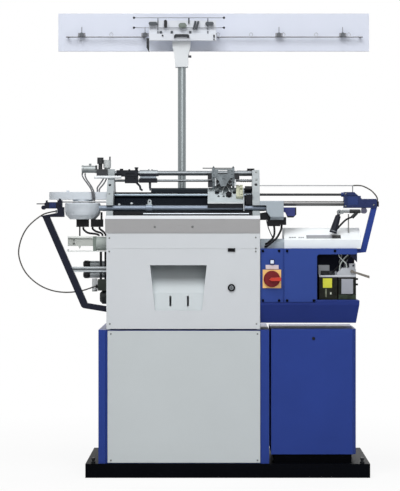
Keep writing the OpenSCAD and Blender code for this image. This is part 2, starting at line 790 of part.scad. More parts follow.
// square arm from the bracket down to the body
module arm_bar() {
  wall_y([30, 30 + arm_d], [[-262, 4], [-233, 4], [-82, -342], [0, -356], [0, -378], [-98, -362],
    [-106, -356]]);
}

module left_arm() {
  color([0.11, 0.13, 0.21]) at_left() arm_bar();
}

module left_bracket() {
  color([0.1, 0.12, 0.2]) at_left() {
    wall_y([28, 70], [[-266, 4], [-266, 9], [-233, 15], [-203, 21], [-203, 38], [-254, 38], [-254, 60],
      [-246, 64], [-202, 64], [-202, 72], [-184, 72], [-184, 44], [-176, 44], [-176, 4]]);
    rod_y(-258, [24, 60], 42, 8.5);
    rod_x([-287, -253], 47, 57, 2);
    rod_z(-193, 47, [71, 78], 5);
    rod_z(-246, 47, [60, 71], 4);
    rod_y(-220, [24, 30], 51, 8);
    rod_y(-192, [24, 30], 56, 5);
    rod_x([-211, -202], 49, 27, 5);
  }
}

// rods, wire and brace that tie the side parts to the machine
module side_rods() {
  color([0.5, 0.51, 0.53]) {
    at_left() {
      rod_x([-184, -7], 60, 65, 3);
      difference() {
        block([-150, 0], [36, 58], [-217, -196]);
        block([-160, 1], [35, 38], [-210, -203]);
        arm_bar();
      }
    }
    at_right() {
      rod_x([0, 380], 130, 132, 2);
      rod_z(378, 130, [105, 132], 2);
      rod_x([0, 350], 110, 95, 5);
      rod_x([95, 355], 100, 59, 10);
    }
  }
}

module loop_cable() {
  color([0.4, 0.38, 0.36]) at_left()
    cable([[-211.5, 49, 27], [-233, 48, 23], [-262, 46, 13.5], [-300, 44, -14], [-329, 58, -44],
      [-350, 76, -81], [-362, 90, -121], [-363, 98, -154], [-353, 104, -190], [-335, 109, -223],
      [-307, 114, -253], [-271, 119, -278], [-231, 124, -294], [-191, 129, -301], [-151, 133, -301],
      [-110, 137, -295], [-80, 139, -286], [-54.5, 140, -277]], loop_r);
}

// take-down bracket with its motor, and the drive under the rollers
module takedown_drive() {
  color([0.68, 0.7, 0.72]) at_left() {
    difference() {
      union() {
        block([-164, -55], [84, 140], [-113, -74]);
        block([-164, -66], [78, 85], [-80, -73]);
      }
      for (z = [-90, -104]) rod_y(-140, [70, 92], z, 4.5);
    }
    wall_y([84, 100], [[-122, -112], [-111, -112], [-116.5, -124]]);
    block([-168, 0], [80, 140], [-136, -132]);
    block([-168, -164], [80, 140], [-133, -127]);
    block([-62, -50], [82, 138], [-133, -74]);
    rod_x([-51, 0], 110, -103, 28);
    for (x = [-33, -14]) rod_z(x, 131, [-250, -135], 5);
    block([-45, 0], [125, 185], [-295, -249]);
    rod_z(-60, 165, [-299, -246], 11);
    block([-60, -44], [155, 175], [-290, -256]);
    rod_x([-54, -44], 140, -277, 7);
    translate([-38, 155, -322]) rotate([0, 90, 0]) cylinder(r1 = 17, r2 = 28, h = 11);
    rod_x([-28, 0], 155, -322, 28);
  }
}

// take-down roller with its hand knob, carried by the body's side plates
module roller(z) {
  nip = (roller_z[0] - roller_z[1]) / 2 - 0.3;
  span = body_r - body_l;
  color([0.6, 0.61, 0.62]) at_left() translate([0, head_v, z]) {
    rod_x([-94, span - 4], 0, 0, roller_r);
    rod_x([body_t + 3, span - body_t - 3], 0, 0, nip);
    translate([-95, 0, 0]) rotate([0, 90, 0]) rotate_extrude()
      polygon([[0, -14], [roller_knob_r - 6, -14], [roller_knob_r, -8], [roller_knob_r, 8],
        [roller_knob_r - 6, 14], [0, 14]]);
  }
}

module upper_roller() {
  roller(roller_z[0]);
}

module lower_roller() {
  roller(roller_z[1]);
}

module racking_cover() {
  color([0.72, 0.74, 0.76]) at_right() {
    intersection() {
      wall_x([0, 96], [[40, 5], [58, -8], [150, -8], [150, 69], [44, 69], [40, 65]]);
      wall_y([39, 151], [[0, rail_z + rail_r + fit], [0, 70], [95, 70], [95, -9], [42, -9], [42, 4],
        [26, 26], [26, rail_z + rail_r + fit]]);
    }
  }
}

module racking_motor() {
  color([0.15, 0.22, 0.5]) at_right() wall_y([70, 120], [[95, 26], [104, 22], [113, 2], [135, 2],
    [147, 14], [147, 43], [95, 43]]);
}

module right_bracket() {
  color([0.19, 0.27, 0.57]) at_right() difference() {
    union() {
      wall_y([75, 140], [[340, 41], [340, 105], [381, 105], [413, 77], [arm_x + 63, 77],
        [arm_x + 68, 72], [arm_x + 68, 41]]);
      rod_x([330, 341], 110, 95, 9);
      rod_z(404, 108, [76, 90], 6);
      rod_x([413, arm_x + 67], 100, 62, 16);
      rod_z(arm_x + 71, 92, [46, 67], 6);
    }
    block([352, 398], [74, 79], [52, 92]);
    rod_x([329, 350 + fit], 110, 95, 5 + fit);
    rod_x([329, 355 + fit], 100, 59, 10 + fit);
  }
}

module right_arm() {
  color([0.19, 0.27, 0.57]) at_right()
    wall_y([80, 110], [[arm_x + 45, 41], [arm_x + 68, 41], [arm_x + 27, -126], [arm_x + 24, -138],
      [elec_w, -142], [elec_w, -124], [arm_x + 4, -124]]);
}

module right_cable() {
  color([0.4, 0.38, 0.36]) at_right()
    cable([[380.5, 130, 132], [400, 128, 132.5], [421, 124, 129], [449, 115, 114], [466, 104, 97],
      [475, 96, 82], [476, 92, 67.5]], loop_r);
}

// lamp arm with its fork, hanging from the bracket by a clamp, and the plug of the lamp's lead
module lamp_arm() {
  c = lamp_at;
  color([0.3, 0.31, 0.33]) at_right() {
    rod_x([c[0] + 10, 424], c[1] + 6, c[2] + 3, 6);
    rod_x([c[0] + 42, 404], c[1] + 6, c[2] + 3, 8);
    rod_y(421, [c[1] - 10, 112], 29, 11);
    block([412, 430], [76, 112], [30, 41]);
    translate([372, c[1] + 6, 2]) rotate([0, 45, 0]) cylinder(r = 7, h = 28);
    difference() {
      union() {
        for (y = [c[1] - 10, c[1] + 6]) {
          rod_y(c[0], [y, y + 4], c[2], 10);
          block([c[0], c[0] + 16], [y, y + 4], [c[2] - 7, c[2] + 7]);
        }
        block([c[0] + 11, c[0] + 16], [c[1] - 10, c[1] + 10], [c[2] - 7, c[2] + 7]);
      }
      rod_y(c[0], [c[1] - 12, c[1] + 12], c[2], 3 + run);
    }
  }
}

module lamp_head() {
  color([0.05, 0.05, 0.05]) at_right() translate(lamp_at) rotate([0, lamp_tilt, 0]) {
    rod_y(0, [-5.6, 5.6], 0, 9);
    rod_y(0, [-11, 11], 0, 3);
    block([-6, 6], [-5.6, 5.6], [-15, -4]);
    translate([0, 0, -14 - lamp_l]) rotate_extrude()
      polygon([[0, 3], [lamp_r - 3, 3], [lamp_r - 3, 0], [lamp_r, 0], [lamp_r, 7], [lamp_r - 0.8, 7],
        [lamp_r - 0.8, 11],
        [lamp_r - 0.3, 11], [lamp_r - 4, lamp_l - 3], [lamp_r - 7, lamp_l], [0, lamp_l]]);
  }
}

module console() {
  tilt = atan(48 / 120);
  color([0.93, 0.94, 0.95]) at_right() {
    difference() {
      wall_x([console_x, console_x + console_w], [[30, elec_top], [30, -88], [150, -40], [300, -40],
        [300, elec_top]]);
      translate([0, 30, -88]) rotate([tilt, 0, 0]) block([187, 326], [15, 51.5], [-1.2, 5]);
    }
    rod_z(console_x + console_w - 46, 97, [-63, 16], 2.5);
  }
}

module cable_cover() {
  color([0.68, 0.7, 0.72]) at_right() wall_x([1, console_x], [[40, elec_top], [40, -96], [56, -84],
    [150, -84],
    [150, elec_top]]);
}

module electrics_cabinet() {
  bay = [228, elec_w + 1];
  color([0.19, 0.27, 0.57]) at_right() {
    difference() {
      block([0, elec_w], [20, 20 + elec_d], [elec_low, elec_top]);
      block(bay, [19, 20 + bay_d], [elec_low - 1, -146]);
    }
    wall_y([20, 26], [[elec_w - 32, -146], [elec_w, -146], [elec_w, -178]]);
    intersection() {
      wall_x([0, elec_w + 12], [[12, elec_low], [8, -332], [8, -348], [30, -421], [20 + elec_d, -421],
        [20 + elec_d, elec_low]]);
      wall_y([0, 40 + elec_d], [[0, -421], [elec_w - 4, -421], [elec_w + 8, -350], [elec_w + 9, -332],
        [elec_w + 5, elec_low], [0, elec_low]]);
      difference() {
        block([-1, elec_w + 20], [-1, 40 + elec_d], [-430, elec_low + 1]);
        block([-2, 222], [-2, 20], [cover_low - 1, elec_low + 2]);
      }
    }
  }
}

// screwed covers over the switch column and the electrics
module electrics_covers() {
  z = [elec_low + 1, elec_top - 1];
  r = 10;
  color([0.2, 0.29, 0.6]) at_right() difference() {
    union() {
      block([3, 91], [16, 20], [cover_low, z[1]]);
      block([97, 221], [16, 20], [cover_low, z[1]]);
      block([220, elec_w], [16, 20], z);
    }
    block([228 + r, elec_w + 1], [15, 21], [z[0] - 1, -146]);
    block([228, elec_w + 1], [15, 21], [z[0] - 1, -146 - r]);
    rod_y(228 + r, [15, 21], -146 - r, r);
  }
}

module switch_plate() {
  h = switch_plate_w / 2;
  color([0.95, 0.74, 0.4]) at_right() difference() {
    block([47 - h, 47 + h], [12, 16], [-244 - h, -244 + h]);
    rod_y(47, [11, 17], -244, 5 + run);
  }
}

module switch_knob() {
  color([0.68, 0.1, 0.08]) at_right() translate([47, 0, -244]) {
    rotate([90, 0, 0]) translate([0, 0, -12 + loose]) rotate_extrude()
      polygon([[0, 0], [switch_r, 0], [switch_r, 10], [switch_r - 3, 14], [0, 14]]);
    wall_y([-20, 0], [[-11, -2], [-2, 5], [switch_r + 3, 7], [switch_r + 3, -8], [-2, -8]]);
    rod_y(0, [11, 15], 0, 5);
  }
}

module oil_tanks() {
  color([0.1, 0.1, 0.09]) at_right() {
    block([238, 311], [40, 110], [elec_low, -238]);
    block([315, 386], [40, 110], [elec_low, -238]);
    for (z = [-246, -268]) rod_x([385, 396], 75, z, 4);
    for (x = [238, 315]) block([x - 1, x + 72], [39, 111], [-250, -246]);
  }
}

module pump_block() {
  color([0.66, 0.67, 0.7]) at_right() {
    block([238, 310], [45, 105], [-238, -230]);
    block([238, 282], [95, 101], [-231, -190]);
    rod_z(262, 66, [-231, -224], 12);
    rod_z(296, 60, [-231, -222], 7);
    block([279, 309], [66, 74], [-231, -214]);
    difference() {
      union() {
        wall_y([46, 105], [[309, -238], [386, -238], [386, -206], [372, -200], [330, -200], [309, -222]]);
        block([359, 384], [50, 75], [-207, -183]);
      }
      rod_y(lever_at[0], [40, 60], lever_at[1], 3 + run);
      rod_y(376, [45, 80], -192, 4);
    }
  }
}

module priming_lever() {
  x = lever_at[0];
  z = lever_at[1];
  color([0.25, 0.26, 0.26]) at_right() {
    rod_y(x, [38, 45], z, 7);
    rod_y(x, [44, 58], z, 3);
    wall_y([39, 44], [[x, z - 4], [x, z + 4], [x + 62, z - 15], [x + 70, z - 17], [x + 70, z - 28],
      [x + 58, z - 24]]);
  }
}

module side_cabinet() {
  color([0.19, 0.27, 0.58]) from_front() translate([stand_r + 8, 12, base_h + plinth_h]) difference() {
    linear_extrude(stand_h + 3 - plinth_h)
      polygon([[0, 0], [side_w - 14, 0], [side_w, 14], [side_w, side_d], [0, side_d]]);
    rod_y(side_w / 2, [-1, 2], stand_h - 72, 5);
  }
}

module mast() {
  color([0.62, 0.63, 0.65]) from_front() difference() {
    union() {
      rod_z(mast_x, mast_v, [stand_z, head_z + 80], mast_r);
      rod_z(mast_x, mast_v, [stand_z, stand_z + 10], 34);
    }
    rod_z(mast_x, mast_v, [stand_z + 10, head_z + 81], mast_r - 3);
  }
}

module mast_head() {
  color([0.9, 0.91, 0.92]) at_yarn() difference() {
    wall_y([-30, 32], [[-27, 0], [26, 0], [28, 50], [36, 85], [38, 122], [-41, 122], [-39, 85], [-31, 50]]);
    rod_z(0, 0, [-1, 80 + fit], mast_r + fit);
  }
  color([0.3, 0.3, 0.32]) at_yarn() rod_x([27, 40], 0, 46, 5);
}

module yarn_panel() {
  left = -525;
  low = 71;
  color([0.87, 0.88, 0.93]) at_yarn() {
    block([left, left + yarn_w], [32, 32 + sheet], [low, low + yarn_h]);
    for (z = [low, low + yarn_h - sheet]) block([left, left + yarn_w], [32, 48], [z, z + sheet]);
  }
}

// guide rails on stand-offs, with tension devices and ring guides
module yarn_guides() {
  z = 130;
  v = 10;
  color([0.6, 0.6, 0.64]) at_yarn() {
    for (x = [[-491, -151], [145, 766]]) {
      rod_x(x, v, z, guide_r);
      for (e = [x[0] + 10, x[1] - 10]) rod_y(e, [v, 32], z, 4);
    }
    for (x = [-424, -156, 411, 681]) {
      block([x - 15, x + 15], [v - 9, v + 9], [z + 2, z + 16]);
      rod_y(x, [v - 12, v - 8], z + 9, 9);
      rod_z(x, v, [z + 15, z + 42], 1.5);
    }
    for (x = [-299, 153, 293, 430, 569, 707]) translate([x, v, z + guide_r + 7]) rotate([90, 0, 0])
      rotate_extrude() translate([7, 0]) circle(r = 1.3, $fn = 16);
  }
}

module yarn_unit() {
  color([0.85, 0.86, 0.88]) at_yarn() {
    block([-137, 145], [-36, -30], [109, 195]);
    block([-137, 145], [-54, -35], [109, 138]);
    yarn_sensors();
  }
}

// a bar with round ends, standing out of the yarn unit
module capsule(x, z, w, h, y) {
  r = min(w, h) / 2;
  dx = w / 2 - r;
  dz = h / 2 - r;
  block([x - dx - (dz > 0 ? r : 0), x + dx + (dz > 0 ? r : 0)],
    y, [z - dz - (dx > 0 ? r : 0), z + dz + (dx > 0 ? r : 0)]);
  for (s = [-1, 1]) rod_y(x + s * dx, y, z + s * dz, r);
}

// yarn sensors, guide arch, strap and spring wires on the unit's face
module yarn_sensors() {
  for (x = [-121, 117]) capsule(x, 181, 36, 14, [-52, -35]);
  capsule(-68, 180, 13, 32, [-56, -35]);
  for (x = [54, 66]) translate([x, -44, 174]) rotate([0, 14, 0]) translate([-4, -8, -18]) cube([8, 17, 36]);
  capsule(4, 172, 34, 22, [-58, -35]);
  rod_y(4, [-62, -57], 172, 8);
  for (x = [-80, -24, 28, 136]) rod_y(x, [-58, -53], 130, 3.5);
  for (z = [116, 126]) rod_y(136, [-58, -53], z - 2, 3);
  for (x = [-88, -42, 36]) block([x - 5, x + 5], [-48, -35], [138, 150]);
  rod_z(30, -42, [182, 206], 3);
  wall_y([-64, -53], [[-32, 120], [-32, 129], [-26, 135], [26, 135], [32, 129], [32, 120],
    [24, 120], [22, 124], [-22, 124], [-24, 120]]);
  wall_y([-50, -40], [[-148, 119], [-136, 119], [-136, 82], [-132, 64], [-138, 62], [-148, 80]]);
  for (z = [164, 206]) {
    rod_x([-201, 178], -42, z, 1.5);
    for (x = [-201, 178]) translate([x, -42, z]) sphere(r = 5);
  }
  for (x = [-100, 110]) rod_z(x, -42, [137, 207], 1.8);
}

base_frame();
levelling_bolts();
stand_cabinet();
lower_front_panel();
body_frame();
upper_front_panel();
glove_chute();
panel_lock();
lock_barrel();
top_cover();
front_guard();
needle_beds();
needles();
knockover_bars();
carriage_rails();
left_end_plate();
right_end_plate();
feeder_rails();
belt_cover();
carriage_frame();
cam_plates();
stitch_knob();
carriage_sliders();
carriage_stops();
yarn_feeder();
feeder_block();
air_unit();
leads();
drive_box();
motor_cover();
drive_motor();
left_arm();
left_bracket();
side_rods();
loop_cable();
takedown_drive();
upper_roller();
lower_roller();
racking_cover();
racking_motor();
right_bracket();
right_arm();
right_cable();
lamp_arm();
lamp_head();
console();
cable_cover();
electrics_cabinet();
electrics_covers();
switch_plate();
switch_knob();
oil_tanks();
pump_block();
priming_lever();
side_cabinet();
mast();
mast_head();
yarn_panel();
yarn_guides();
yarn_unit();
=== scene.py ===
# %% [markdown]
# # A flat knitting machine, dressed in Blender
# The machine comes in as a fixed frame of CAD solids, in metres. This lesson gives every solid its finish,
# and adds the small things that CAD leaves out: screws, cables, plain labels, lenses and glass.

# %% Load the frame
import math
import bmesh
import bpy
from mathutils import Matrix, Vector


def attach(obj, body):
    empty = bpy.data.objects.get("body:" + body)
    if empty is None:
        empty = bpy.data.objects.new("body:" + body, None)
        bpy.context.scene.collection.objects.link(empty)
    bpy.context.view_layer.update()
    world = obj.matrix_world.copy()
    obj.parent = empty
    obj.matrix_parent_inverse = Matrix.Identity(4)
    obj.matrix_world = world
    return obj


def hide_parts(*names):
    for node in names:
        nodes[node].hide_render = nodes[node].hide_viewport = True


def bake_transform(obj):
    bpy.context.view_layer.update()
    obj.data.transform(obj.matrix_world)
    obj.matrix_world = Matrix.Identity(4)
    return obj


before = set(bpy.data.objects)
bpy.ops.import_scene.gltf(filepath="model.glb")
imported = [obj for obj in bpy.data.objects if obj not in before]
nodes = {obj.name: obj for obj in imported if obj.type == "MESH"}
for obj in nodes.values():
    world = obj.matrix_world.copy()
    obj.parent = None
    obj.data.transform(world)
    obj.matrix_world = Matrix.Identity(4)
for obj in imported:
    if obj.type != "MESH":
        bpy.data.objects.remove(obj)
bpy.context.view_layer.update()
scene = bpy.context.scene

# %% [markdown]
# ## Camera
# The picture was taken from straight ahead, from over eight metres away, at about the height of the carriage.
# A long lens with a small shift keeps all uprights parallel, as an architect's view camera does. Tilting the
# camera instead would make them lean.

# %% Camera
PIXELS_HIGH = 491
camera = bpy.data.objects.new("camera", bpy.data.cameras.new("camera"))
scene.collection.objects.link(camera)
camera.location = (-0.035, -8.6, 1.024)
camera.rotation_euler = (math.radians(90), 0, 0)
camera.data.sensor_width = 36
camera.data.lens = 152.1
camera.data.shift_x = -19 / PIXELS_HIGH
camera.data.shift_y = -23.5 / PIXELS_HIGH
camera.data.clip_end = 60
scene.camera = camera
print("camera at", tuple(camera.location))

# %% [markdown]
# ## Places
# Measures on this machine are kept as millimetres across, millimetres behind the base's front edge, and
# millimetres over the floor. One helper turns them into the frame's metres, so that a number here reads as on
# a drawing.

# %% Places
FRONT = -0.300


def place(x, depth, z):
    """Millimetres across, behind the base's front edge and over the floor, as a place in metres."""
    return Vector((x / 1000, FRONT + depth / 1000, z / 1000))


def linear(red, green, blue):
    """A screen colour, 0 to 255, as the linear colour that a shader wants."""
    return tuple(((c / 255 + 0.055) / 1.055) ** 2.4 if c > 10 else c / 255 / 12.92 for c in (red, green, blue)) + (1,)


print("front edge of the base at", FRONT, "m")

# %% [markdown]
# ## Shader helpers
# A finish is a tree of small nodes, and the same few steps come up again and again: feed a socket, reckon with
# two values, stretch a range, make noise. Written once here, they keep the finishes short.

# %% Shader helpers
def wire(tree, a, b):
    tree.links.new(a, b)


def feed(tree, value, socket):
    """A constant is set on the socket itself; an output is wired to it."""
    if isinstance(value, (int, float, tuple)):
        socket.default_value = value
    else:
        wire(tree, value, socket)


def math_node(tree, kind, a, b):
    n = tree.nodes.new("ShaderNodeMath")
    n.operation = kind
    feed(tree, a, n.inputs[0])
    feed(tree, b, n.inputs[1])
    return n.outputs[0]


def choose(tree, mask, inside, outside):
    """One value where the mask is 1, another where it is 0."""
    kept = math_node(tree, "MULTIPLY", math_node(tree, "SUBTRACT", 1, mask), outside)
    return math_node(tree, "ADD", math_node(tree, "MULTIPLY", mask, inside), kept)


def choose_colour(tree, mask, inside, outside):
    """As choose, for colours."""
    mix = tree.nodes.new("ShaderNodeMix")
    mix.data_type = "RGBA"
    wire(tree, mask, mix.inputs["Factor"])
    feed(tree, outside, mix.inputs["A"])
    feed(tree, inside, mix.inputs["B"])
    return mix.outputs["Result"]


def map_range(tree, value, from_min, from_max, to_min, to_max):
    """A range stretched onto another, held at its ends."""
    n = tree.nodes.new("ShaderNodeMapRange")
    for socket, v in (("From Min", from_min), ("From Max", from_max), ("To Min", to_min), ("To Max", to_max)):
        n.inputs[socket].default_value = v
    wire(tree, value, n.inputs["Value"])
    return n.outputs[0]


def noise(tree, vector, scale, detail):
    n = tree.nodes.new("ShaderNodeTexNoise")
    n.inputs["Scale"].default_value = scale
    n.inputs["Detail"].default_value = detail
    wire(tree, vector, n.inputs["Vector"])
    return n.outputs["Fac"]


def inside_box(tree, axes, low, high):
    """1 inside a box, 0 outside; None leaves that side open."""
    mask = None
    for k in range(3):
        for limit, kind in ((low[k], "GREATER_THAN"), (high[k], "LESS_THAN")):
            if limit is not None:
                step = math_node(tree, kind, axes[k], limit)
                mask = step if mask is None else math_node(tree, "MULTIPLY", mask, step)
    return mask


print("shader helpers ready")

# %% [markdown]
# ## Finishes
# Powder paint has a faint orange peel and is never one even colour; steel carries fine drawn lines. Each finish
# is one node tree on Object coordinates: a broad noise tints the colour, a fine one roughens it and lifts the
# surface, and a bevel node lets hard edges catch the light as broken edges do. Where one CAD solid holds pieces of
# several colours, boxes in space pick the colour.

# %% Finishes
DARKEN_FROM, DARKEN_TO = 0.05, 0.35
ROUGH_SPREAD = 0.25


def finish(name, colour, rough=0.45, metal=0.0, tint=0.06, peel=0.03, scale=260, brush=None, patches=(), coat=0.0,
           darken_low=0.0, gloss=0.3, cloud=5, soft=1.5):
    """A finish: colour, its unevenness, its fine surface, and boxed patches (low, high, colour, rough, metal)."""
    mat = bpy.data.materials.new(name)
    mat.use_nodes = True
    tree = mat.node_tree
    shader = tree.nodes["Principled BSDF"]
    shader.inputs["Coat Weight"].default_value = coat
    shader.inputs["Specular IOR Level"].default_value = gloss
    coords = tree.nodes.new("ShaderNodeTexCoord").outputs["Object"]
    stretch = tree.nodes.new("ShaderNodeMapping")
    stretch.inputs["Scale"].default_value = brush or (1, 1, 1)
    wire(tree, coords, stretch.inputs["Vector"])
    broad = noise(tree, coords, cloud, 5)
    fine = noise(tree, stretch.outputs[0], scale, 3)
    split = tree.nodes.new("ShaderNodeSeparateXYZ")
    wire(tree, coords, split.inputs[0])

    tone, shine, steel = colour, rough, metal
    for low, high, c, r, m in patches:
        mask = inside_box(tree, split.outputs, low, high)
        tone = choose_colour(tree, mask, c, tone)
        if r != rough:
            shine = choose(tree, mask, r, shine)
        if m != metal:
            steel = choose(tree, mask, m, steel)
    shade = map_range(tree, broad, 0.3, 0.7, 1 - tint, 1 + tint)
    # colour darker towards the floor, from 35 cm down to 5 cm over it
    if darken_low:
        low_down = map_range(tree, split.outputs[2], DARKEN_FROM, DARKEN_TO, 1 - darken_low, 1)
        shade = math_node(tree, "MULTIPLY", shade, low_down)
    lit = tree.nodes.new("ShaderNodeVectorMath")
    lit.operation = "SCALE"
    feed(tree, tone[:3] if isinstance(tone, tuple) else tone, lit.inputs[0])
    wire(tree, shade, lit.inputs["Scale"])
    wire(tree, lit.outputs[0], shader.inputs["Base Color"])
    spread = math_node(tree, "MULTIPLY", math_node(tree, "SUBTRACT", fine, 0.5), ROUGH_SPREAD)
    wire(tree, math_node(tree, "ADD", spread, shine), shader.inputs["Roughness"])
    feed(tree, steel, shader.inputs["Metallic"])

    bump = tree.nodes.new("ShaderNodeBump")
    bump.inputs["Strength"].default_value = peel
    bump.inputs["Distance"].default_value = 0.001
    wire(tree, fine, bump.inputs["Height"])
    edge = tree.nodes.new("ShaderNodeBevel")
    edge.samples = 4
    edge.inputs["Radius"].default_value = soft / 1000
    wire(tree, edge.outputs[0], bump.inputs["Normal"])
    wire(tree, bump.outputs[0], shader.inputs["Normal"])
    return mat


def dress(*rows):
    """Rows of a finish and the nodes that wear it."""
    for mat, *names in rows:
        for n in names:
            for s in nodes[n].material_slots:
                s.material = mat
    return len(rows)


BLACK = linear(13, 14, 17)
SOOT = linear(26, 28, 32)
BRIGHT = linear(205, 210, 213)
DRAWN = (1, 60, 60)
UPRIGHT = (60, 60, 1)


def patch(x=(None, None), y=(None, None), z=(None, None), colour=BLACK, rough=0.45, metal=0.0):
    """A boxed patch; sides in millimetres across, in the frame's depth and over the floor."""
    def side(k):
        return tuple(None if v[k] is None else v[k] / 1000 for v in (x, y, z))
    return side(0), side(1), colour, rough, metal


print("finish maker ready")

# %% [markdown]
# ## Painted sheet
# The panels are a cool light grey, the stand and cabinets a deep blue, the base black. They are powder coated, so
# they shine softly and show a faint peel. Dark paint mirrors the white room less than a pale one seems to, so its
# specular level is set low. The trough under the electrics and the inside of the oil bay get a darker tone, matched
# to how dark they look; that tone is partly their own paint and partly painted shade.

# %% Painted sheet
panel_grey = finish("panel_grey", linear(187, 193, 195), 0.45, tint=0.015, peel=0.05, gloss=0.25)
door_grey = finish("door_grey", linear(197, 201, 205), 0.45, tint=0.015, peel=0.05, gloss=0.25)
chute_grey = finish("chute_grey", linear(194, 201, 204), 0.5, tint=0.015, peel=0.05, gloss=0.2)
machine_blue = finish("machine_blue", linear(37, 59, 132), 0.4, tint=0.05, peel=0.06, gloss=0.14, darken_low=0.1)
cover_blue = finish("cover_blue", linear(44, 67, 137), 0.4, tint=0.05, peel=0.06, gloss=0.14)
cabinet_blue = finish("cabinet_blue", linear(40, 63, 134), 0.4, tint=0.05, peel=0.06, gloss=0.14, patches=[
    # darker trough below 711 mm and darker oil bay inside: partly their own paint, partly painted shade
    patch(z=(None, 711), colour=linear(28, 46, 112), rough=0.4),
    patch(x=(357.5, 518.5), y=(-281, -109.5), z=(710, 894.5), colour=linear(15, 19, 42), rough=0.5)])
casting_blue = finish("casting_blue", linear(33, 52, 106), 0.42, tint=0.12, peel=0.14, scale=150, gloss=0.2, patches=[
    patch(y=(None, -221), colour=linear(27, 40, 84), rough=0.45),
    patch(x=(599.5, None), y=(-215, -201), z=(1084, 1108), colour=BLACK)])
motor_blue = finish("motor_blue", linear(48, 54, 108), 0.45, tint=0.2, peel=0.1, gloss=0.2, patches=[
    patch(x=(272, None), colour=SOOT), patch(x=(235, None), z=(None, 1048), colour=SOOT)])
base_black = finish("base_black", linear(3, 4, 8), 0.5, tint=0.3, peel=0.12, scale=180, gloss=0.03)
belt_black = finish("belt_black", linear(33, 40, 46), 0.45, tint=0.15, peel=0.1, scale=180, gloss=0.12)
# the top cover's upward lip above 1036.5 mm is a painted highlight; the front band's darker grey is partly painted
# shade
band_grey = finish("band_grey", linear(157, 157, 158), 0.45, tint=0.015, peel=0.05, gloss=0.25, patches=[
    patch(z=(1036.5, None), colour=linear(233, 236, 240), rough=0.38)])
frame_grey = finish("frame_grey", linear(163, 170, 173), 0.45, tint=0.04, peel=0.06, gloss=0.25)
cover_grey = finish("cover_grey", linear(156, 166, 174), 0.45, tint=0.02, peel=0.06, gloss=0.25)
drive_grey = finish("drive_grey", linear(173, 177, 173), 0.45, tint=0.06, peel=0.06, gloss=0.25, patches=[
    patch(z=(959.5, None), colour=linear(222, 225, 222)),
    patch(z=(903, 913.5), colour=linear(220, 224, 222)),
    patch(x=(-544.5, -532.2), z=(907, 967), colour=linear(112, 122, 116)),
    patch(x=(-532.2, None), z=(909, 972), colour=linear(160, 168, 164)),
    patch(z=(791.5, 903), colour=SOOT),
    patch(x=(-527.5, None), z=(744, 791.5), colour=linear(54, 60, 54)),
    patch(x=(None, -527.5), z=(None, 800), colour=linear(206, 209, 211)),
    patch(x=(None, -526), y=(-168, -152.5), z=(755, 771), colour=BLACK),
    patch(z=(None, 744), colour=linear(36, 40, 42))])
arm_navy = finish("arm_navy", linear(24, 27, 40), 0.42, tint=0.08, peel=0.08, gloss=0.12)
bracket_navy = finish("bracket_navy", linear(20, 23, 38), 0.42, tint=0.2, peel=0.1, gloss=0.15, patches=[
    patch(x=(-716, -690), z=(1079, 1105), colour=linear(38, 50, 92)),
    patch(x=(-694, -683), z=(1060, 1074), colour=linear(150, 154, 158), metal=0.8)])
housing_white = finish("housing_white", linear(203, 210, 217), 0.4, tint=0.02, peel=0.05, gloss=0.3)
yarn_board = finish("yarn_board", linear(206, 211, 224), 0.42, tint=0.02, peel=0.04, gloss=0.2)
head_white = finish("head_white", linear(210, 214, 217), 0.42, tint=0.02, peel=0.05, gloss=0.25, patches=[
    patch(x=(-165, None), z=(1718, 1730), colour=linear(70, 74, 80))])
console_white = finish("console_white", linear(238, 243, 245), 0.42, tint=0.012, peel=0.05, gloss=0.25, patches=[
    patch(y=(None, -269.6), colour=linear(225, 231, 236), rough=0.42),
    patch(x=(486, 492), y=(-206, -200), z=(980.5, None), colour=linear(140, 142, 140), metal=0.5)])
painted = dress(
    (panel_grey, "lower_front_panel"),
    (door_grey, "upper_front_panel"),
    (chute_grey, "glove_chute"),
    (machine_blue, "stand_cabinet", "side_cabinet", "right_arm"),
    (cover_blue, "electrics_covers"),
    (cabinet_blue, "electrics_cabinet"),
    (casting_blue, "right_bracket"),
    (motor_blue, "racking_motor"),
    (base_black, "base_frame"),
    (belt_black, "belt_cover"),
    (band_grey, "top_cover"),
    (frame_grey, "body_frame", "left_end_plate", "right_end_plate"),
    (cover_grey, "racking_cover", "cable_cover"),
    (drive_grey, "takedown_drive"),
    (arm_navy, "left_arm"),
    (bracket_navy, "left_bracket"),
    (housing_white, "drive_box", "motor_cover"),
    (yarn_board, "yarn_panel"),
    (head_white, "mast_head"),
    (console_white, "console"))
print("painted finishes", painted)

# %% [markdown]
# ## Bare metal
# Rails, rods and rollers are drawn or ground steel. Stretching the fine noise along the piece gives drawn lines;
# across it would look turned. The needle beds and needles are given a near-black colour, much darker than the rails.

# %% Bare metal
drawn_steel = finish("drawn_steel", linear(100, 104, 107), 0.34, 1, tint=0.06, peel=0.05, scale=120, brush=DRAWN)
bright_steel = finish("bright_steel", linear(112, 123, 131), 0.3, 0.9, tint=0.06, peel=0.04, scale=120, brush=DRAWN)
mast_steel = finish("mast_steel", linear(143, 150, 152), 0.34, 1, tint=0.03, peel=0.05, scale=120, brush=UPRIGHT)
bed_steel = finish("bed_steel", linear(6, 12, 20), 0.4, 0.2, tint=0.3, peel=0.06, scale=200, brush=DRAWN, gloss=0.1)
needle_steel = finish("needle_steel", linear(14, 20, 29), 0.4, 0.5, tint=0.2, peel=0.05, gloss=0.2)
rail_steel = finish(
    "rail_steel", linear(108, 117, 129), 0.46, 0.75, tint=0.08, peel=0.05, scale=120, brush=DRAWN, patches=[
        patch(x=(-330, -304), z=(1092.5, None), colour=linear(150, 157, 160), metal=0.9)])
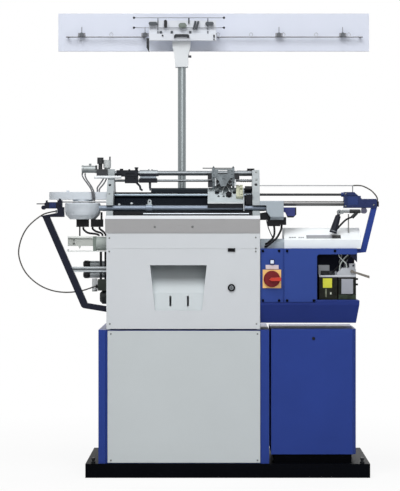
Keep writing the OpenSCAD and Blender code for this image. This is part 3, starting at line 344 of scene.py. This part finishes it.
rod_mix = finish("rod_mix", linear(128, 130, 132), 0.34, 0.9, tint=0.06, peel=0.05, scale=120, brush=DRAWN, patches=[
    patch(x=(130, None), z=(1127, 1143), colour=linear(20, 22, 26), rough=0.4),
    patch(x=(130, None), z=(1085, 1112), colour=linear(100, 100, 100), rough=0.36, metal=0.8),
    patch(x=(None, -480), z=(820, 848), colour=linear(176, 182, 186), rough=0.45),
    # the dark band in the left brace's groove is painted shade
    patch(x=(None, -480), z=(829.5, 837.5), colour=linear(84, 89, 92), rough=0.5)])
carriage_steel = finish(
    "carriage_steel", linear(108, 115, 119), 0.45, 0.45, tint=0.3, peel=0.12, scale=140, cloud=42, patches=[
        patch(x=(None, -64.2), z=(1196, 1220), colour=SOOT),
        patch(x=(28.2, None), z=(1196, 1220), colour=SOOT),
        patch(x=(None, -62.3), z=(1164, 1190), colour=linear(34, 38, 44)),
        patch(x=(-51.8, 17.8), y=(-147, -139), z=(None, 1209), colour=linear(24, 27, 31)),
        patch(x=(-53, -45), y=(None, -149), z=(1168, 1203), colour=BRIGHT, metal=0.6),
        patch(x=(27.5, 35), y=(None, -149), z=(1168, 1198), colour=BRIGHT, metal=0.6),
        patch(y=(-139, -133), z=(1240, None), colour=linear(70, 74, 76)),
        patch(y=(-152, None), z=(1245.4, None), colour=linear(58, 62, 65))])
cam_steel = finish("cam_steel", linear(180, 189, 192), 0.42, 0.15, tint=0.08, peel=0.08, scale=160, cloud=18, patches=[
    patch(x=(34.5, 62.5), z=(1118.5, None), colour=linear(186, 189, 166), rough=0.5),
    patch(z=(None, 1104.3), colour=linear(222, 228, 230), rough=0.4),
    patch(x=(-41.2, -32.8), y=(None, -155), z=(1125.3, 1133.4), colour=linear(50, 54, 58)),
    patch(x=(-20.2, -11.8), y=(None, -155), z=(1125.3, 1133.4), colour=linear(50, 54, 58)),
    patch(x=(-36.2, 18.2), y=(None, -124), z=(1144.4, None), colour=linear(104, 112, 115))])
slider_black = finish("slider_black", linear(18, 21, 26), 0.42, tint=0.15, peel=0.08, gloss=0.15, patches=[
    patch(x=(62.8, None), y=(None, -249.8), colour=linear(190, 196, 200), rough=0.35, metal=0.7)])
roller_steel = finish(
    "roller_steel", linear(160, 165, 168), 0.42, 0.6, tint=0.05, peel=0.05, scale=120, brush=DRAWN, patches=[
        patch(x=(None, -562), colour=BLACK, rough=0.45)])
guard_black = finish("guard_black", linear(20, 22, 26), 0.42, tint=0.1, peel=0.05, gloss=0.15, patches=[
    patch(y=(None, -248.2), colour=linear(168, 173, 180), rough=0.3, metal=0.9)])
blackened = finish("blackened", linear(20, 22, 26), 0.42, 0.1, tint=0.2, peel=0.08, gloss=0.15)
feeder_dark = finish("feeder_dark", linear(19, 22, 29), 0.42, 0.1, tint=0.25, peel=0.1, gloss=0.2, patches=[
    patch(x=(-362, None), z=(1222.4, 1229.6), colour=linear(132, 138, 142), metal=0.7),
    patch(x=(-362, None), z=(1229.6, None), colour=linear(112, 117, 120), metal=0.5),
    patch(x=(-358, None), z=(1203.2, 1211.8), colour=linear(126, 134, 142), metal=0.6),
    patch(z=(None, 1183), colour=linear(46, 51, 58))])
lever_grey = finish("lever_grey", linear(112, 108, 102), 0.42, 0.3, tint=0.1, peel=0.08)
pump_metal = finish("pump_metal", linear(160, 164, 170), 0.42, 0.3, tint=0.25, peel=0.2, scale=90, patches=[
    patch(x=(368, 412.5), y=(-206, -198), z=(810.5, None), colour=linear(186, 190, 196)),
    patch(x=(376, 432), z=(809.5, 827), colour=linear(38, 41, 46)),
    patch(z=(None, 810), colour=linear(196, 200, 206))])
key_chrome = finish("key_chrome", linear(118, 122, 126), 0.25, 1, tint=0.02, peel=0.02)
guide_steel = finish("guide_steel", linear(118, 119, 124), 0.38, 0.7, tint=0.06, peel=0.05, patches=[
    patch(y=(177, None), z=(1809.5, 1825), colour=linear(176, 179, 184), metal=0.2),
    patch(y=(None, 177), z=(1809.5, 1830), colour=linear(86, 90, 96))])
lamp_metal = finish("lamp_metal", linear(120, 124, 126), 0.36, 0.8, tint=0.08, peel=0.06, patches=[
    patch(x=(492.3, 534.3), colour=linear(19, 20, 24)), patch(x=(540, None), colour=linear(78, 78, 96), rough=0.5)])
lamp_black = finish("lamp_black", linear(26, 28, 38), 0.42, tint=0.12, peel=0.08, gloss=0.2)
metals = dress(
    (drawn_steel, "feeder_rails"),
    (rod_mix, "side_rods"),
    (guide_steel, "yarn_guides"),
    (pump_metal, "pump_block"),
    (lamp_metal, "lamp_arm"),
    (lamp_black, "lamp_head"),
    (bright_steel, "knockover_bars"),
    (mast_steel, "mast"),
    (bed_steel, "needle_beds"),
    (needle_steel, "needles"),
    (rail_steel, "carriage_rails"),
    (carriage_steel, "carriage_frame"),
    (cam_steel, "cam_plates"),
    (slider_black, "carriage_sliders"),
    (roller_steel, "upper_roller", "lower_roller"),
    (guard_black, "front_guard"),
    (feeder_dark, "yarn_feeder", "feeder_block"),
    (lever_grey, "priming_lever"),
    (blackened, "levelling_bolts", "carriage_stops"),
    (key_chrome, "lock_barrel"))
print("metal finishes", metals)

# %% [markdown]
# ## Plastics, rubber and mixed units
# Knobs, plugs and leads are black; the main switch is a red knob on an orange plate. The air unit and the yarn
# unit hold small parts of several colours, which their patches pick out.

# %% Plastics and mixed units
moulded_black = finish("moulded_black", linear(16, 17, 20), 0.5, tint=0.1, peel=0.1, scale=400, gloss=0.15)
lead_rubber = finish("lead_rubber", linear(17, 18, 22), 0.55, tint=0.1, peel=0.06, gloss=0.15, patches=[
    patch(x=(-600, -495), y=(-205, -95), z=(1098, 1226), colour=linear(98, 100, 104)),
    patch(x=(440, 466), y=(-222, -196), z=(830, None), colour=linear(150, 154, 156)),
    patch(x=(468, 490), y=(-226, -208), z=(842, None), colour=linear(120, 124, 128))])
switch_orange = finish("switch_orange", linear(236, 190, 118), 0.42, tint=0.04, peel=0.05)
switch_red = finish("switch_red", linear(108, 14, 22), 0.38, tint=0.08, peel=0.05, gloss=0.25, patches=[
    patch(y=(None, -302.3), colour=linear(190, 58, 44), rough=0.38)])
tank_dark = finish("tank_dark", linear(22, 24, 16), 0.3, tint=0.8, peel=0.05, scale=40, gloss=0.14, cloud=45, patches=[
    patch(x=(442, None), colour=linear(17, 20, 16), rough=0.3),
    patch(x=(446, 515), y=(None, -259.6), z=(714, 732), colour=linear(50, 60, 48), rough=0.3),
    # the pale upright streak and the small near-white spot on the left tank are painted highlights
    patch(x=(392, 398), y=(None, -259.6), z=(722, 756), colour=linear(104, 108, 92), rough=0.3),
    patch(x=(412, 417), y=(None, -259.6), z=(733, 742), colour=linear(176, 180, 168), rough=0.3),
    patch(z=(789.5, None), colour=linear(14, 15, 14), rough=0.4)])
air_metal = finish("air_metal", linear(132, 137, 138), 0.4, 0.4, tint=0.3, peel=0.1, scale=120, patches=[
    patch(x=(-535, -491), z=(None, 1240.5), colour=linear(46, 48, 52)),
    patch(x=(-541, -507), z=(1238, None), colour=linear(42, 44, 46)),
    patch(x=(-507, -475), z=(1246, 1277), colour=linear(188, 193, 194)),
    patch(x=(-484, -478), z=(1276.5, None), colour=SOOT),
    patch(x=(-546, -430), y=(-137, -124.9), z=(1200, 1213.5), colour=linear(222, 226, 229))])
yarn_white = finish("yarn_white", linear(205, 209, 216), 0.42, tint=0.05, peel=0.05, patches=[
    patch(y=(None, 139), z=(1832, None), colour=linear(70, 75, 80)),
    patch(x=(-268, -252), y=(None, 139), z=(1832, None), colour=BLACK),
    patch(x=(-148, -116), y=(None, 139), z=(1832, None), colour=linear(58, 62, 68)),
    patch(x=(-206, -170), y=(None, 139), z=(1836, 1862), colour=linear(112, 121, 115)),
    patch(y=(None, 139.5), z=(1816.4, 1829), colour=linear(66, 70, 76)),
    patch(y=(None, 121.8), z=(None, 1831), colour=linear(26, 30, 36)),
    patch(y=(132, 136), z=(1840, 1844), colour=linear(138, 142, 148)),
    patch(y=(132, 136), z=(1882, 1886), colour=linear(138, 142, 148)),
    patch(x=(None, -386), colour=SOOT), patch(x=(-21, None), colour=SOOT),
    patch(x=(None, -328.5), z=(None, 1797), colour=linear(32, 35, 40))])
mixed = dress(
    (moulded_black, "panel_lock", "stitch_knob", "drive_motor"),
    (lead_rubber, "leads"),
    (switch_orange, "switch_plate"),
    (switch_red, "switch_knob"),
    (tank_dark, "oil_tanks"),
    (air_metal, "air_unit"),
    (yarn_white, "yarn_unit"))
print("plastics and mixed finishes", mixed)

# %% [markdown]
# ## The two free cables
# A thin grey cable leaves the left bracket, hangs in a wide loop beside the arm and comes back to the take-down
# motor; a short one bows over the right casting. Each is a fixed length held at both ends. A bevelled curve is
# the honest way to make it: one line to follow, one thickness.

# %% Free cables
cable_grey = finish("cable_grey", linear(82, 80, 76), 0.5, tint=0.08, peel=0.05, gloss=0.2)
CABLE = 0.0056


def route(points, origin, steps=6):
    """Points along a smooth line through given ones."""
    p = [origin + Vector(q) / 1000 for q in points]
    line = []
    for i in range(len(p) - 1):
        a, b, c, d = p[max(i - 1, 0)], p[i], p[i + 1], p[min(i + 2, len(p) - 1)]
        for k in range(steps):
            t = k / steps
            bend, twist = 2 * a - 5 * b + 4 * c - d, 3 * b - a - 3 * c + d
            line.append(0.5 * (2 * b + (c - a) * t + bend * t ** 2 + twist * t ** 3))
    return line + [p[-1]]


def cable(name, line, thick, mat):
    """A round cable along a line, in metres."""
    curve = bpy.data.curves.new(name, "CURVE")
    curve.dimensions = "3D"
    spline = curve.splines.new("POLY")
    spline.points.add(len(line) - 1)
    for point, at in zip(spline.points, line):
        point.co = (*at, 1)
    curve.bevel_depth = thick / 2
    curve.bevel_resolution = 3
    curve.use_fill_caps = True
    curve.materials.append(mat)
    obj = bpy.data.objects.new(name, curve)
    scene.collection.objects.link(obj)
    return obj


LEFT = place(-482, 0, 1040)
RIGHT = place(130, 0, 1040)
loop = route([(-211.5, 49, 27), (-233, 48, 23), (-262, 46, 13.5), (-300, 44, -14), (-329, 58, -44), (-350, 76, -81),
              (-362, 90, -121), (-363, 98, -154), (-353, 104, -190), (-335, 109, -223), (-307, 114, -253),
              (-271, 119, -278), (-231, 124, -294), (-191, 129, -301), (-151, 133, -301), (-110, 137, -295),
              (-80, 139, -286), (-54.5, 140, -277)], LEFT)
bow = route([(380.5, 130, 132), (400, 128, 132.5), (421, 124, 129), (449, 115, 114), (466, 104, 97), (475, 96, 82),
             (476, 92, 67.5)], RIGHT)
for name, line, node in (("loop_cord", loop, "loop_cable"), ("bow_cord", bow, "right_cable")):
    cord = cable(name, line, CABLE, cable_grey)
    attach(cord, "machine")
    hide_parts(node)

# %% [markdown]
# ## Turned and flat trim
# Small round trim is a profile spun about an axis, as on a lathe; small flat trim is a plate with softened
# edges. Two helpers make both, and each piece is set on the face that carries it.

# %% Turned and flat trim
def to_object(name, mesh, mat, body):
    """A mesh as a piece that rides on a body."""
    mesh.materials.append(mat)
    obj = bpy.data.objects.new(name, mesh)
    scene.collection.objects.link(obj)
    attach(obj, body)
    return obj


def from_bmesh(name, bm, mat, body):
    """What was built, with its faces turned outwards, as a piece."""
    bmesh.ops.recalc_face_normals(bm, faces=bm.faces)
    mesh = bpy.data.meshes.new(name)
    bm.to_mesh(mesh)
    bm.free()
    return to_object(name, mesh, mat, body)


def turned(name, profile, at, axis, mat, body="machine", sides=32):
    """A profile of (radius, height) in millimetres, spun about an axis."""
    bm = bmesh.new()
    turn = Vector(axis).to_track_quat("Z", "Y")
    rings = []
    for r, h in profile:
        ring = []
        for k in range(sides if r > 0 else 1):
            a = 2 * math.pi * k / sides
            ring.append(bm.verts.new(at + turn @ (Vector((r * math.cos(a), r * math.sin(a), h)) / 1000)))
        rings.append(ring)
    for low, high in zip(rings, rings[1:]):
        for k in range(sides):
            j = (k + 1) % sides
            if len(low) == 1:
                bm.faces.new((low[0], high[k], high[j]))
            elif len(high) == 1:
                bm.faces.new((low[k], high[0], low[j]))
            else:
                bm.faces.new((low[k], low[j], high[j], high[k]))
    return from_bmesh(name, bm, mat, body)


def plate(name, low, high, mat, soft=0.8, turn=None, body="machine"):
    """A block between two corners in metres, with softened edges, turned about its low corner if asked."""
    bm = bmesh.new()
    bmesh.ops.create_cube(bm, size=1)
    size = high - low
    for v in bm.verts:
        v.co = Vector((v.co.x * size.x, v.co.y * size.y, v.co.z * size.z)) + size / 2
    bmesh.ops.bevel(bm, geom=bm.edges[:], offset=soft / 1000, segments=2, affect="EDGES", profile=0.5)
    for v in bm.verts:
        v.co = low + (turn @ v.co if turn else v.co)
    return from_bmesh(name, bm, mat, body)


FORWARD = (0, -1, 0)
lens_white = finish("lens_white", linear(214, 224, 240), 0.25, tint=0.02, peel=0.02, coat=0.2)
strip_pale = finish("strip_pale", linear(206, 192, 198), 0.45, tint=0.08, peel=0.03)
plate("pilot_body", place(169, 10, 855), place(187, 16, 873), moulded_black, 1.5)
plate("pilot_lens", place(171, 6, 857), place(185, 11, 871), lens_white, 1.5)
plate("switch_tag", place(152, 14.4, 835), place(204, 16, 852), strip_pale, 0.5)
LOCK_PROFILE = [(0, 2.4), (2.2, 2.4), (3, 3), (5, 3), (6.4, 1.6), (6.4, -1), (0, -1)]
turned("cabinet_lock", LOCK_PROFILE, place(344, 12, 557), FORWARD, moulded_black)
print("switch column and cabinet trim made")

# %% [markdown]
# ## Stitch scale
# Behind the stitch knob an arched scale lies on the cam plate, dark inside a bright rim, and a grey strip closes
# the gap under the carriage's front plate. The arch is an outline given thickness on the sloping plate; a scaled
# cylinder could not narrow towards its top.

# %% Stitch scale
CAM = Matrix.Rotation(math.radians(45), 3, "X")


def on_cam(x, up, out):
    """A place on the front cam plate, in millimetres across, up the slope and out of the bed."""
    return Vector((x, -104, 1146)) / 1000 + CAM @ (Vector((0, up, out)) / 1000)


def cut_plate(name, outline, low, high, mat, body):
    """An outline on the cam plate, given thickness from one height to another."""
    bm = bmesh.new()
    rings = [[bm.verts.new(on_cam(x, up, out)) for x, up in outline] for out in (low, high)]
    count = len(outline)
    for k in range(count):
        j = (k + 1) % count
        bm.faces.new((rings[0][k], rings[0][j], rings[1][j], rings[1][k]))
    bm.faces.new(rings[0])
    bm.faces.new(rings[1])
    return from_bmesh(name, bm, mat, body)


strip_grey = finish("strip_grey", linear(112, 120, 124), 0.45, 0.2, tint=0.25, peel=0.1, cloud=50)
scale_rim = finish("scale_rim", linear(196, 203, 206), 0.4, 0.1, tint=0.08, peel=0.06, cloud=40)
scale_dark = finish("scale_dark", linear(76, 84, 87), 0.5, 0.1, tint=0.35, peel=0.1, cloud=60)
RIM = [(-26, -40), (-22, -24), (-17, -6), (-13, 3), (-7, 7), (-1, 3), (4, -6), (9, -22), (12, -33), (-11, -33),
       (-13, -40)]
FACE = [(-20.5, -38), (-18, -24), (-13.5, -7), (-10.5, 0), (-7, 3), (-3.5, 0), (0.5, -7), (5, -21), (8, -31.5),
        (-12, -31.5), (-14.5, -38)]
STRIP_LOW, STRIP_HIGH = Vector((-54.8, -119.4, 1162.4)) / 1000, Vector((14.8, -117.9, 1174)) / 1000
cut_plate("scale_rim", RIM, 30, 31, scale_rim, "carriage")
cut_plate("scale_face", FACE, 31, 31.8, scale_dark, "carriage")
plate("carriage_strip", STRIP_LOW, STRIP_HIGH, strip_grey, 0.4, body="carriage")
print("stitch scale made")

# %% [markdown]
# ## Console
# The console is a white shelf that slopes to the front. Its display strip is a grey window set flush in the slope,
# with a dull black end, and six keys lie beside it. Glass over grey would need a second surface, so one glossy
# plate does it.

# %% Console
SLOPE_RISE, SLOPE_RUN = 48, 120
display_glass = finish("display_glass", linear(134, 138, 144), 0.16, tint=0.05, peel=0.0, gloss=0.4, patches=[
    patch(x=(421, None), colour=linear(6, 7, 9), rough=0.7)])
key_grey = finish("key_grey", linear(132, 136, 140), 0.45, tint=0.05, peel=0.05)
slope = Matrix.Rotation(math.atan(SLOPE_RISE / SLOPE_RUN), 3, "X")


def slope_plate(name, x, up, out, size, mat):
    """A plate on the console's slope: its corner across, up the slope and out of it, and its size, in millimetres."""
    corner = place(x, 30, 952) + slope @ (Vector((0, up, out)) / 1000)
    plate(name, corner, corner + Vector(size) / 1000, mat, 0.4, slope)


slope_plate("console_display", 317.4, 15.4, -1.2, (138.2, 35.7, 1.6), display_glass)
for k, (x, wide) in enumerate(((247, 8), (257, 8), (267, 8), (285, 6), (293, 6), (301, 6))):
    slope_plate("console_key_%d" % k, x, 21, 0, (wide, 9, 1.2), key_grey)
print("console done")

# %% [markdown]
# ## Oil bay
# Two dark oil tanks stand in the open bay, each with a plain label. Two clear tubes and a black one run down to the
# pump and the tanks. They are stiff and fixed at both ends, so each is a thin cable on a smooth route.

# %% Oil bay
TUBE = 0.005
label_yellow = finish("label_yellow", linear(204, 205, 62), 0.45, tint=0.08, peel=0.02)
label_silver = finish("label_silver", linear(150, 153, 162), 0.4, 0.2, tint=0.1, peel=0.02)
plate("tank_label_left", place(382.5, 38, 759.5), place(419.5, 39, 797.5), label_yellow, 0.3)
plate("tank_label_right", place(457, 38, 735), place(504, 39, 795), label_silver, 0.3)
tube_clear = finish("tube_clear", linear(186, 194, 192), 0.3, tint=0.15, peel=0.02, gloss=0.5, cloud=60)
tubes = (
    ("tube_front", tube_clear,
     [(354, 51, -146.6), (344, 50, -157), (332, 50, -171), (323, 50, -188), (320, 53, -209.6)]),
    ("tube_cross", tube_clear,
     [(316, 45, -146.6), (321, 43, -158), (333, 43, -170), (346, 45, -184), (349, 52, -199.6)]),
    ("tube_right", moulded_black,
     [(372, 62, -182.8), (376, 60, -172), (374, 58, -160), (378, 60, -146.6)]))
for name, mat, points in tubes:
    tube = cable(name, route(points, RIGHT), TUBE, mat)
    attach(tube, "machine")
print("two plain labels,", len(tubes), "stiff oil tubes")

# %% [markdown]
# ## Screws
# Screws hold the covers, end plates and panels. They repeat, so Geometry Nodes make them: each vertex of a point
# cloud becomes a head that narrows upwards and carries a small raised hexagon, and faces along the vertex's own
# direction. Every group of screws gets a tree of the same build, with its radius and height as inputs.

# %% Screws
HEAD_TOP = 0.72
HEX_WIDE, HEX_DEEP = 0.4, 2.2


def screw_tree(mat):
    """A node tree that sets a narrowing head with a small hexagon on every point."""
    tree = bpy.data.node_groups.new("screw_heads", "GeometryNodeTree")
    face = tree.interface
    face.new_socket("Places", in_out="INPUT", socket_type="NodeSocketGeometry")
    sockets = [face.new_socket(n, in_out="INPUT", socket_type="NodeSocketFloat") for n in ("Radius", "Height")]
    face.new_socket("Heads", in_out="OUTPUT", socket_type="NodeSocketGeometry")
    new = tree.nodes.new
    start, end = new("NodeGroupInput"), new("NodeGroupOutput")
    radius, height = start.outputs["Radius"], start.outputs["Height"]
    head = new("GeometryNodeMeshCone")
    head.inputs["Vertices"].default_value = 14
    wire(tree, radius, head.inputs["Radius Bottom"])
    wire(tree, math_node(tree, "MULTIPLY", radius, HEAD_TOP), head.inputs["Radius Top"])
    wire(tree, height, head.inputs["Depth"])
    hexagon = new("GeometryNodeMeshCylinder")
    hexagon.inputs["Vertices"].default_value = 6
    wire(tree, math_node(tree, "MULTIPLY", radius, HEX_WIDE), hexagon.inputs["Radius"])
    wire(tree, math_node(tree, "MULTIPLY", height, HEX_DEEP), hexagon.inputs["Depth"])
    both = new("GeometryNodeJoinGeometry")
    wire(tree, head.outputs["Mesh"], both.inputs[0])
    wire(tree, hexagon.outputs["Mesh"], both.inputs[0])
    facing = new("GeometryNodeInputNamedAttribute")
    facing.data_type = "FLOAT_VECTOR"
    facing.inputs["Name"].default_value = "facing"
    aim = new("FunctionNodeAlignRotationToVector")
    wire(tree, facing.outputs["Attribute"], aim.inputs["Vector"])
    copies = new("GeometryNodeInstanceOnPoints")
    wire(tree, start.outputs["Places"], copies.inputs["Points"])
    wire(tree, both.outputs[0], copies.inputs["Instance"])
    wire(tree, aim.outputs[0], copies.inputs["Rotation"])
    real = new("GeometryNodeRealizeInstances")
    wire(tree, copies.outputs[0], real.inputs[0])
    paint = new("GeometryNodeSetMaterial")
    paint.inputs["Material"].default_value = mat
    wire(tree, real.outputs[0], paint.inputs["Geometry"])
    wire(tree, paint.outputs[0], end.inputs[0])
    return tree, [s.identifier for s in sockets]


def screws(name, spots, radius, height, mat, body="machine"):
    """spots: (place, direction) pairs; sizes in millimetres."""
    tree, (r_id, h_id) = screw_tree(mat)
    cloud = bpy.data.meshes.new(name)
    cloud.from_pydata([p for p, d in spots], [], [])
    facing = cloud.attributes.new("facing", "FLOAT_VECTOR", "POINT")
    for item, (p, d) in zip(facing.data, spots):
        item.vector = d
    maker = bpy.data.objects.new(name + "_maker", cloud)
    scene.collection.objects.link(maker)
    mod = maker.modifiers.new("heads", "NODES")
    mod.node_group = tree
    mod[r_id], mod[h_id] = radius / 1000, height / 1000
    bpy.context.view_layer.update()
    made = maker.evaluated_get(bpy.context.evaluated_depsgraph_get())
    mesh = bpy.data.meshes.new_from_object(made)
    bpy.data.objects.remove(maker)
    obj = bpy.data.objects.new(name, mesh)
    scene.collection.objects.link(obj)
    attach(obj, body)
    print(name, len(spots), "heads,", len(mesh.polygons), "faces")


zinc = finish("zinc", linear(120, 123, 122), 0.4, 0.8, tint=0.05, peel=0.03)
LEFT_FACE, RIGHT_FACE, BED_FACE = (0, -0.68, 0.73), (0, -0.914, 0.406), (0, -0.71, 0.71)
PANEL_SPOTS = ((-474, 906), (-474, 960), (112, 906), (112, 918), (112, 962), (-472, 616), (115, 616), (-468, 576),
               (119, 576), (-468, 70), (119, 70))
COVER_SPOTS = ((141, 908), (206, 908), (238, 908), (430, 908), (141, 709), (206, 709), (238, 709), (345, 709))
BED_SPOTS = ((-390.6, -157.8, 1099.3), (-441.4, -158.8, 1095.2))
BRACKET_SPOTS = ((476, 1138), (590, 1093), (476, 1088))
screws("cover_screws", [(place(x, 2.6, 1005), (0, -1, -0.1)) for x in (-292, -141)], 4.5, 2, zinc)
screws("panel_screws", [(place(x, 4, z), FORWARD) for x, z in PANEL_SPOTS], 3.6, 2, zinc)
screws("electrics_screws", [(place(x, 16, z), FORWARD) for x, z in COVER_SPOTS], 5.5, 5, base_black)
screws("left_plate_screws", [(place(-478, 86.1, 1137), LEFT_FACE)], 4, 2, zinc)
screws("left_plate_plugs", [(place(-478, 126.2, 1174), LEFT_FACE)], 6, 2, blackened)
screws("right_plate_screws", [(place(117, y, z), RIGHT_FACE) for y, z in ((132.2, 1196), (146, 1227))], 4.5, 2, zinc)
screws("right_plate_plugs", [(place(115, 123.3, 1176), RIGHT_FACE)], 6, 2, blackened)
screws("bed_screws", [(Vector(spot) / 1000, BED_FACE) for spot in BED_SPOTS], 6, 2.4, scale_rim)
screws("bracket_screws", [(place(x, 75, z), FORWARD) for x, z in BRACKET_SPOTS], 4, 3, zinc)

# %% [markdown]
# ## Lamp lead
# The small work lamp tilts on its lug; its lead bows from the lamp up to the clamp. The lead is a thin cable on a
# smooth route, kept as a plain mesh that stays put when the lamp tilts. A simulated lead would keep its length and
# hang truer.

# %% Lamp lead
LAMP = RIGHT + Vector((320.5, 70, 24)) / 1000
LAMP_LEAN = math.radians(17)
LAMP_AXIS = Vector((-math.sin(LAMP_LEAN), 0, -math.cos(LAMP_LEAN)))
RING_DOWN = 0.079
RING_PROFILE = [(13.6, -2), (15.4, -2), (15.4, 2), (13.6, 2), (13.6, -2)]
LEAD = 0.0075
lead_path = route([(301, 86, -50), (312, 88, -44), (322, 88, -33), (334, 86, -20), (348, 82, -7), (361, 78, 0),
                   (373, 76, 4)], RIGHT)
lead = cable("lamp_lead", lead_path, LEAD, moulded_black)
mesh = bpy.data.meshes.new_from_object(lead.evaluated_get(bpy.context.evaluated_depsgraph_get()))
bpy.data.objects.remove(lead)
turned("lamp_ring", RING_PROFILE, LAMP + LAMP_AXIS * RING_DOWN, LAMP_AXIS, key_chrome, body="lamp")
lead = bpy.data.objects.new("lamp_lead", mesh)
scene.collection.objects.link(lead)
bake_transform(lead)
print("lamp lead", len(mesh.polygons), "faces")

# %% [markdown]
# ## Studio
# Broad soft lamps light the machine from above, in front and behind. The world shows plain white to the camera and
# to reflections, and lights the object at a lower level, so that paint keeps its written colour.

# %% Studio
def studio_world(level):
    """White where it is seen, and a light of the given level elsewhere."""
    world = bpy.data.worlds.new("studio")
    scene.world = world
    world.use_nodes = True
    tree = world.node_tree
    back = tree.nodes["Background"]
    rays = tree.nodes.new("ShaderNodeLightPath")
    seen = rays.outputs["Is Camera Ray"]
    for kind in ("Is Glossy Ray", "Is Transmission Ray"):
        seen = math_node(tree, "MAXIMUM", seen, rays.outputs[kind])
    back.inputs["Color"].default_value = (1, 1, 1, 1)
    strength = math_node(tree, "ADD", math_node(tree, "MULTIPLY", seen, 1 - level), level)
    wire(tree, strength, back.inputs["Strength"])


def soft_lamp(name, at, aim, size, power):
    """A wide lamp that faces a place; sizes in metres, power in watts."""
    lamp = bpy.data.lights.new(name, "AREA")
    lamp.shape = "RECTANGLE"
    lamp.size, lamp.size_y = size
    lamp.energy = power
    obj = bpy.data.objects.new(name, lamp)
    scene.collection.objects.link(obj)
    obj.location = at
    obj.rotation_euler = (Vector(aim) - Vector(at)).to_track_quat("-Z", "Y").to_euler()


studio_world(0.16)
soft_lamp("key", (-0.6, -3.2, 4.8), (0, 0, 0.8), (4.4, 3.0), 236)
soft_lamp("fill", (0.8, -6.0, 2.4), (0, 0, 0.9), (3.0, 2.4), 52)
soft_lamp("rear", (0.8, 4.4, 3.2), (0, 0, 0.9), (3.0, 2.4), 85)
print("lamps set")

# %% [markdown]
# ## Floor
# The machine stands on a white studio floor, which keeps its shadow close by. Further out the floor glows like the
# background, so that no horizon shows; a curved paper sweep would do the same and take more room.

# %% Floor
HALF = 25
SHADE_TO, WHITE_FROM, GLOW_NEAR = 0.7, 2.6, 0.88
floor_mesh = bpy.data.meshes.new("floor")
floor_mesh.from_pydata([(-HALF, -HALF, 0), (HALF, -HALF, 0), (HALF, HALF, 0), (-HALF, HALF, 0)], [], [(0, 1, 2, 3)])
floor = bpy.data.objects.new("floor", floor_mesh)
scene.collection.objects.link(floor)
floor_white = bpy.data.materials.new("floor_white")
floor_white.use_nodes = True
tree = floor_white.node_tree
tree.nodes.clear()
out = tree.nodes.new("ShaderNodeOutputMaterial")
matte = tree.nodes.new("ShaderNodeBsdfDiffuse")
matte.inputs["Color"].default_value = (0.9, 0.9, 0.9, 1)
glow = tree.nodes.new("ShaderNodeEmission")
mix = tree.nodes.new("ShaderNodeMixShader")
rays = tree.nodes.new("ShaderNodeLightPath")
spot = tree.nodes.new("ShaderNodeVectorMath")
spot.operation = "LENGTH"
wire(tree, tree.nodes.new("ShaderNodeTexCoord").outputs["Object"], spot.inputs[0])
fade = map_range(tree, spot.outputs["Value"], SHADE_TO, WHITE_FROM, GLOW_NEAR, 1)
wire(tree, math_node(tree, "MULTIPLY", rays.outputs["Is Camera Ray"], fade), mix.inputs[0])
wire(tree, matte.outputs[0], mix.inputs[1])
wire(tree, glow.outputs[0], mix.inputs[2])
wire(tree, mix.outputs[0], out.inputs["Surface"])
floor_mesh.materials.append(floor_white)
scene.view_settings.view_transform = "Standard"
print("floor laid")
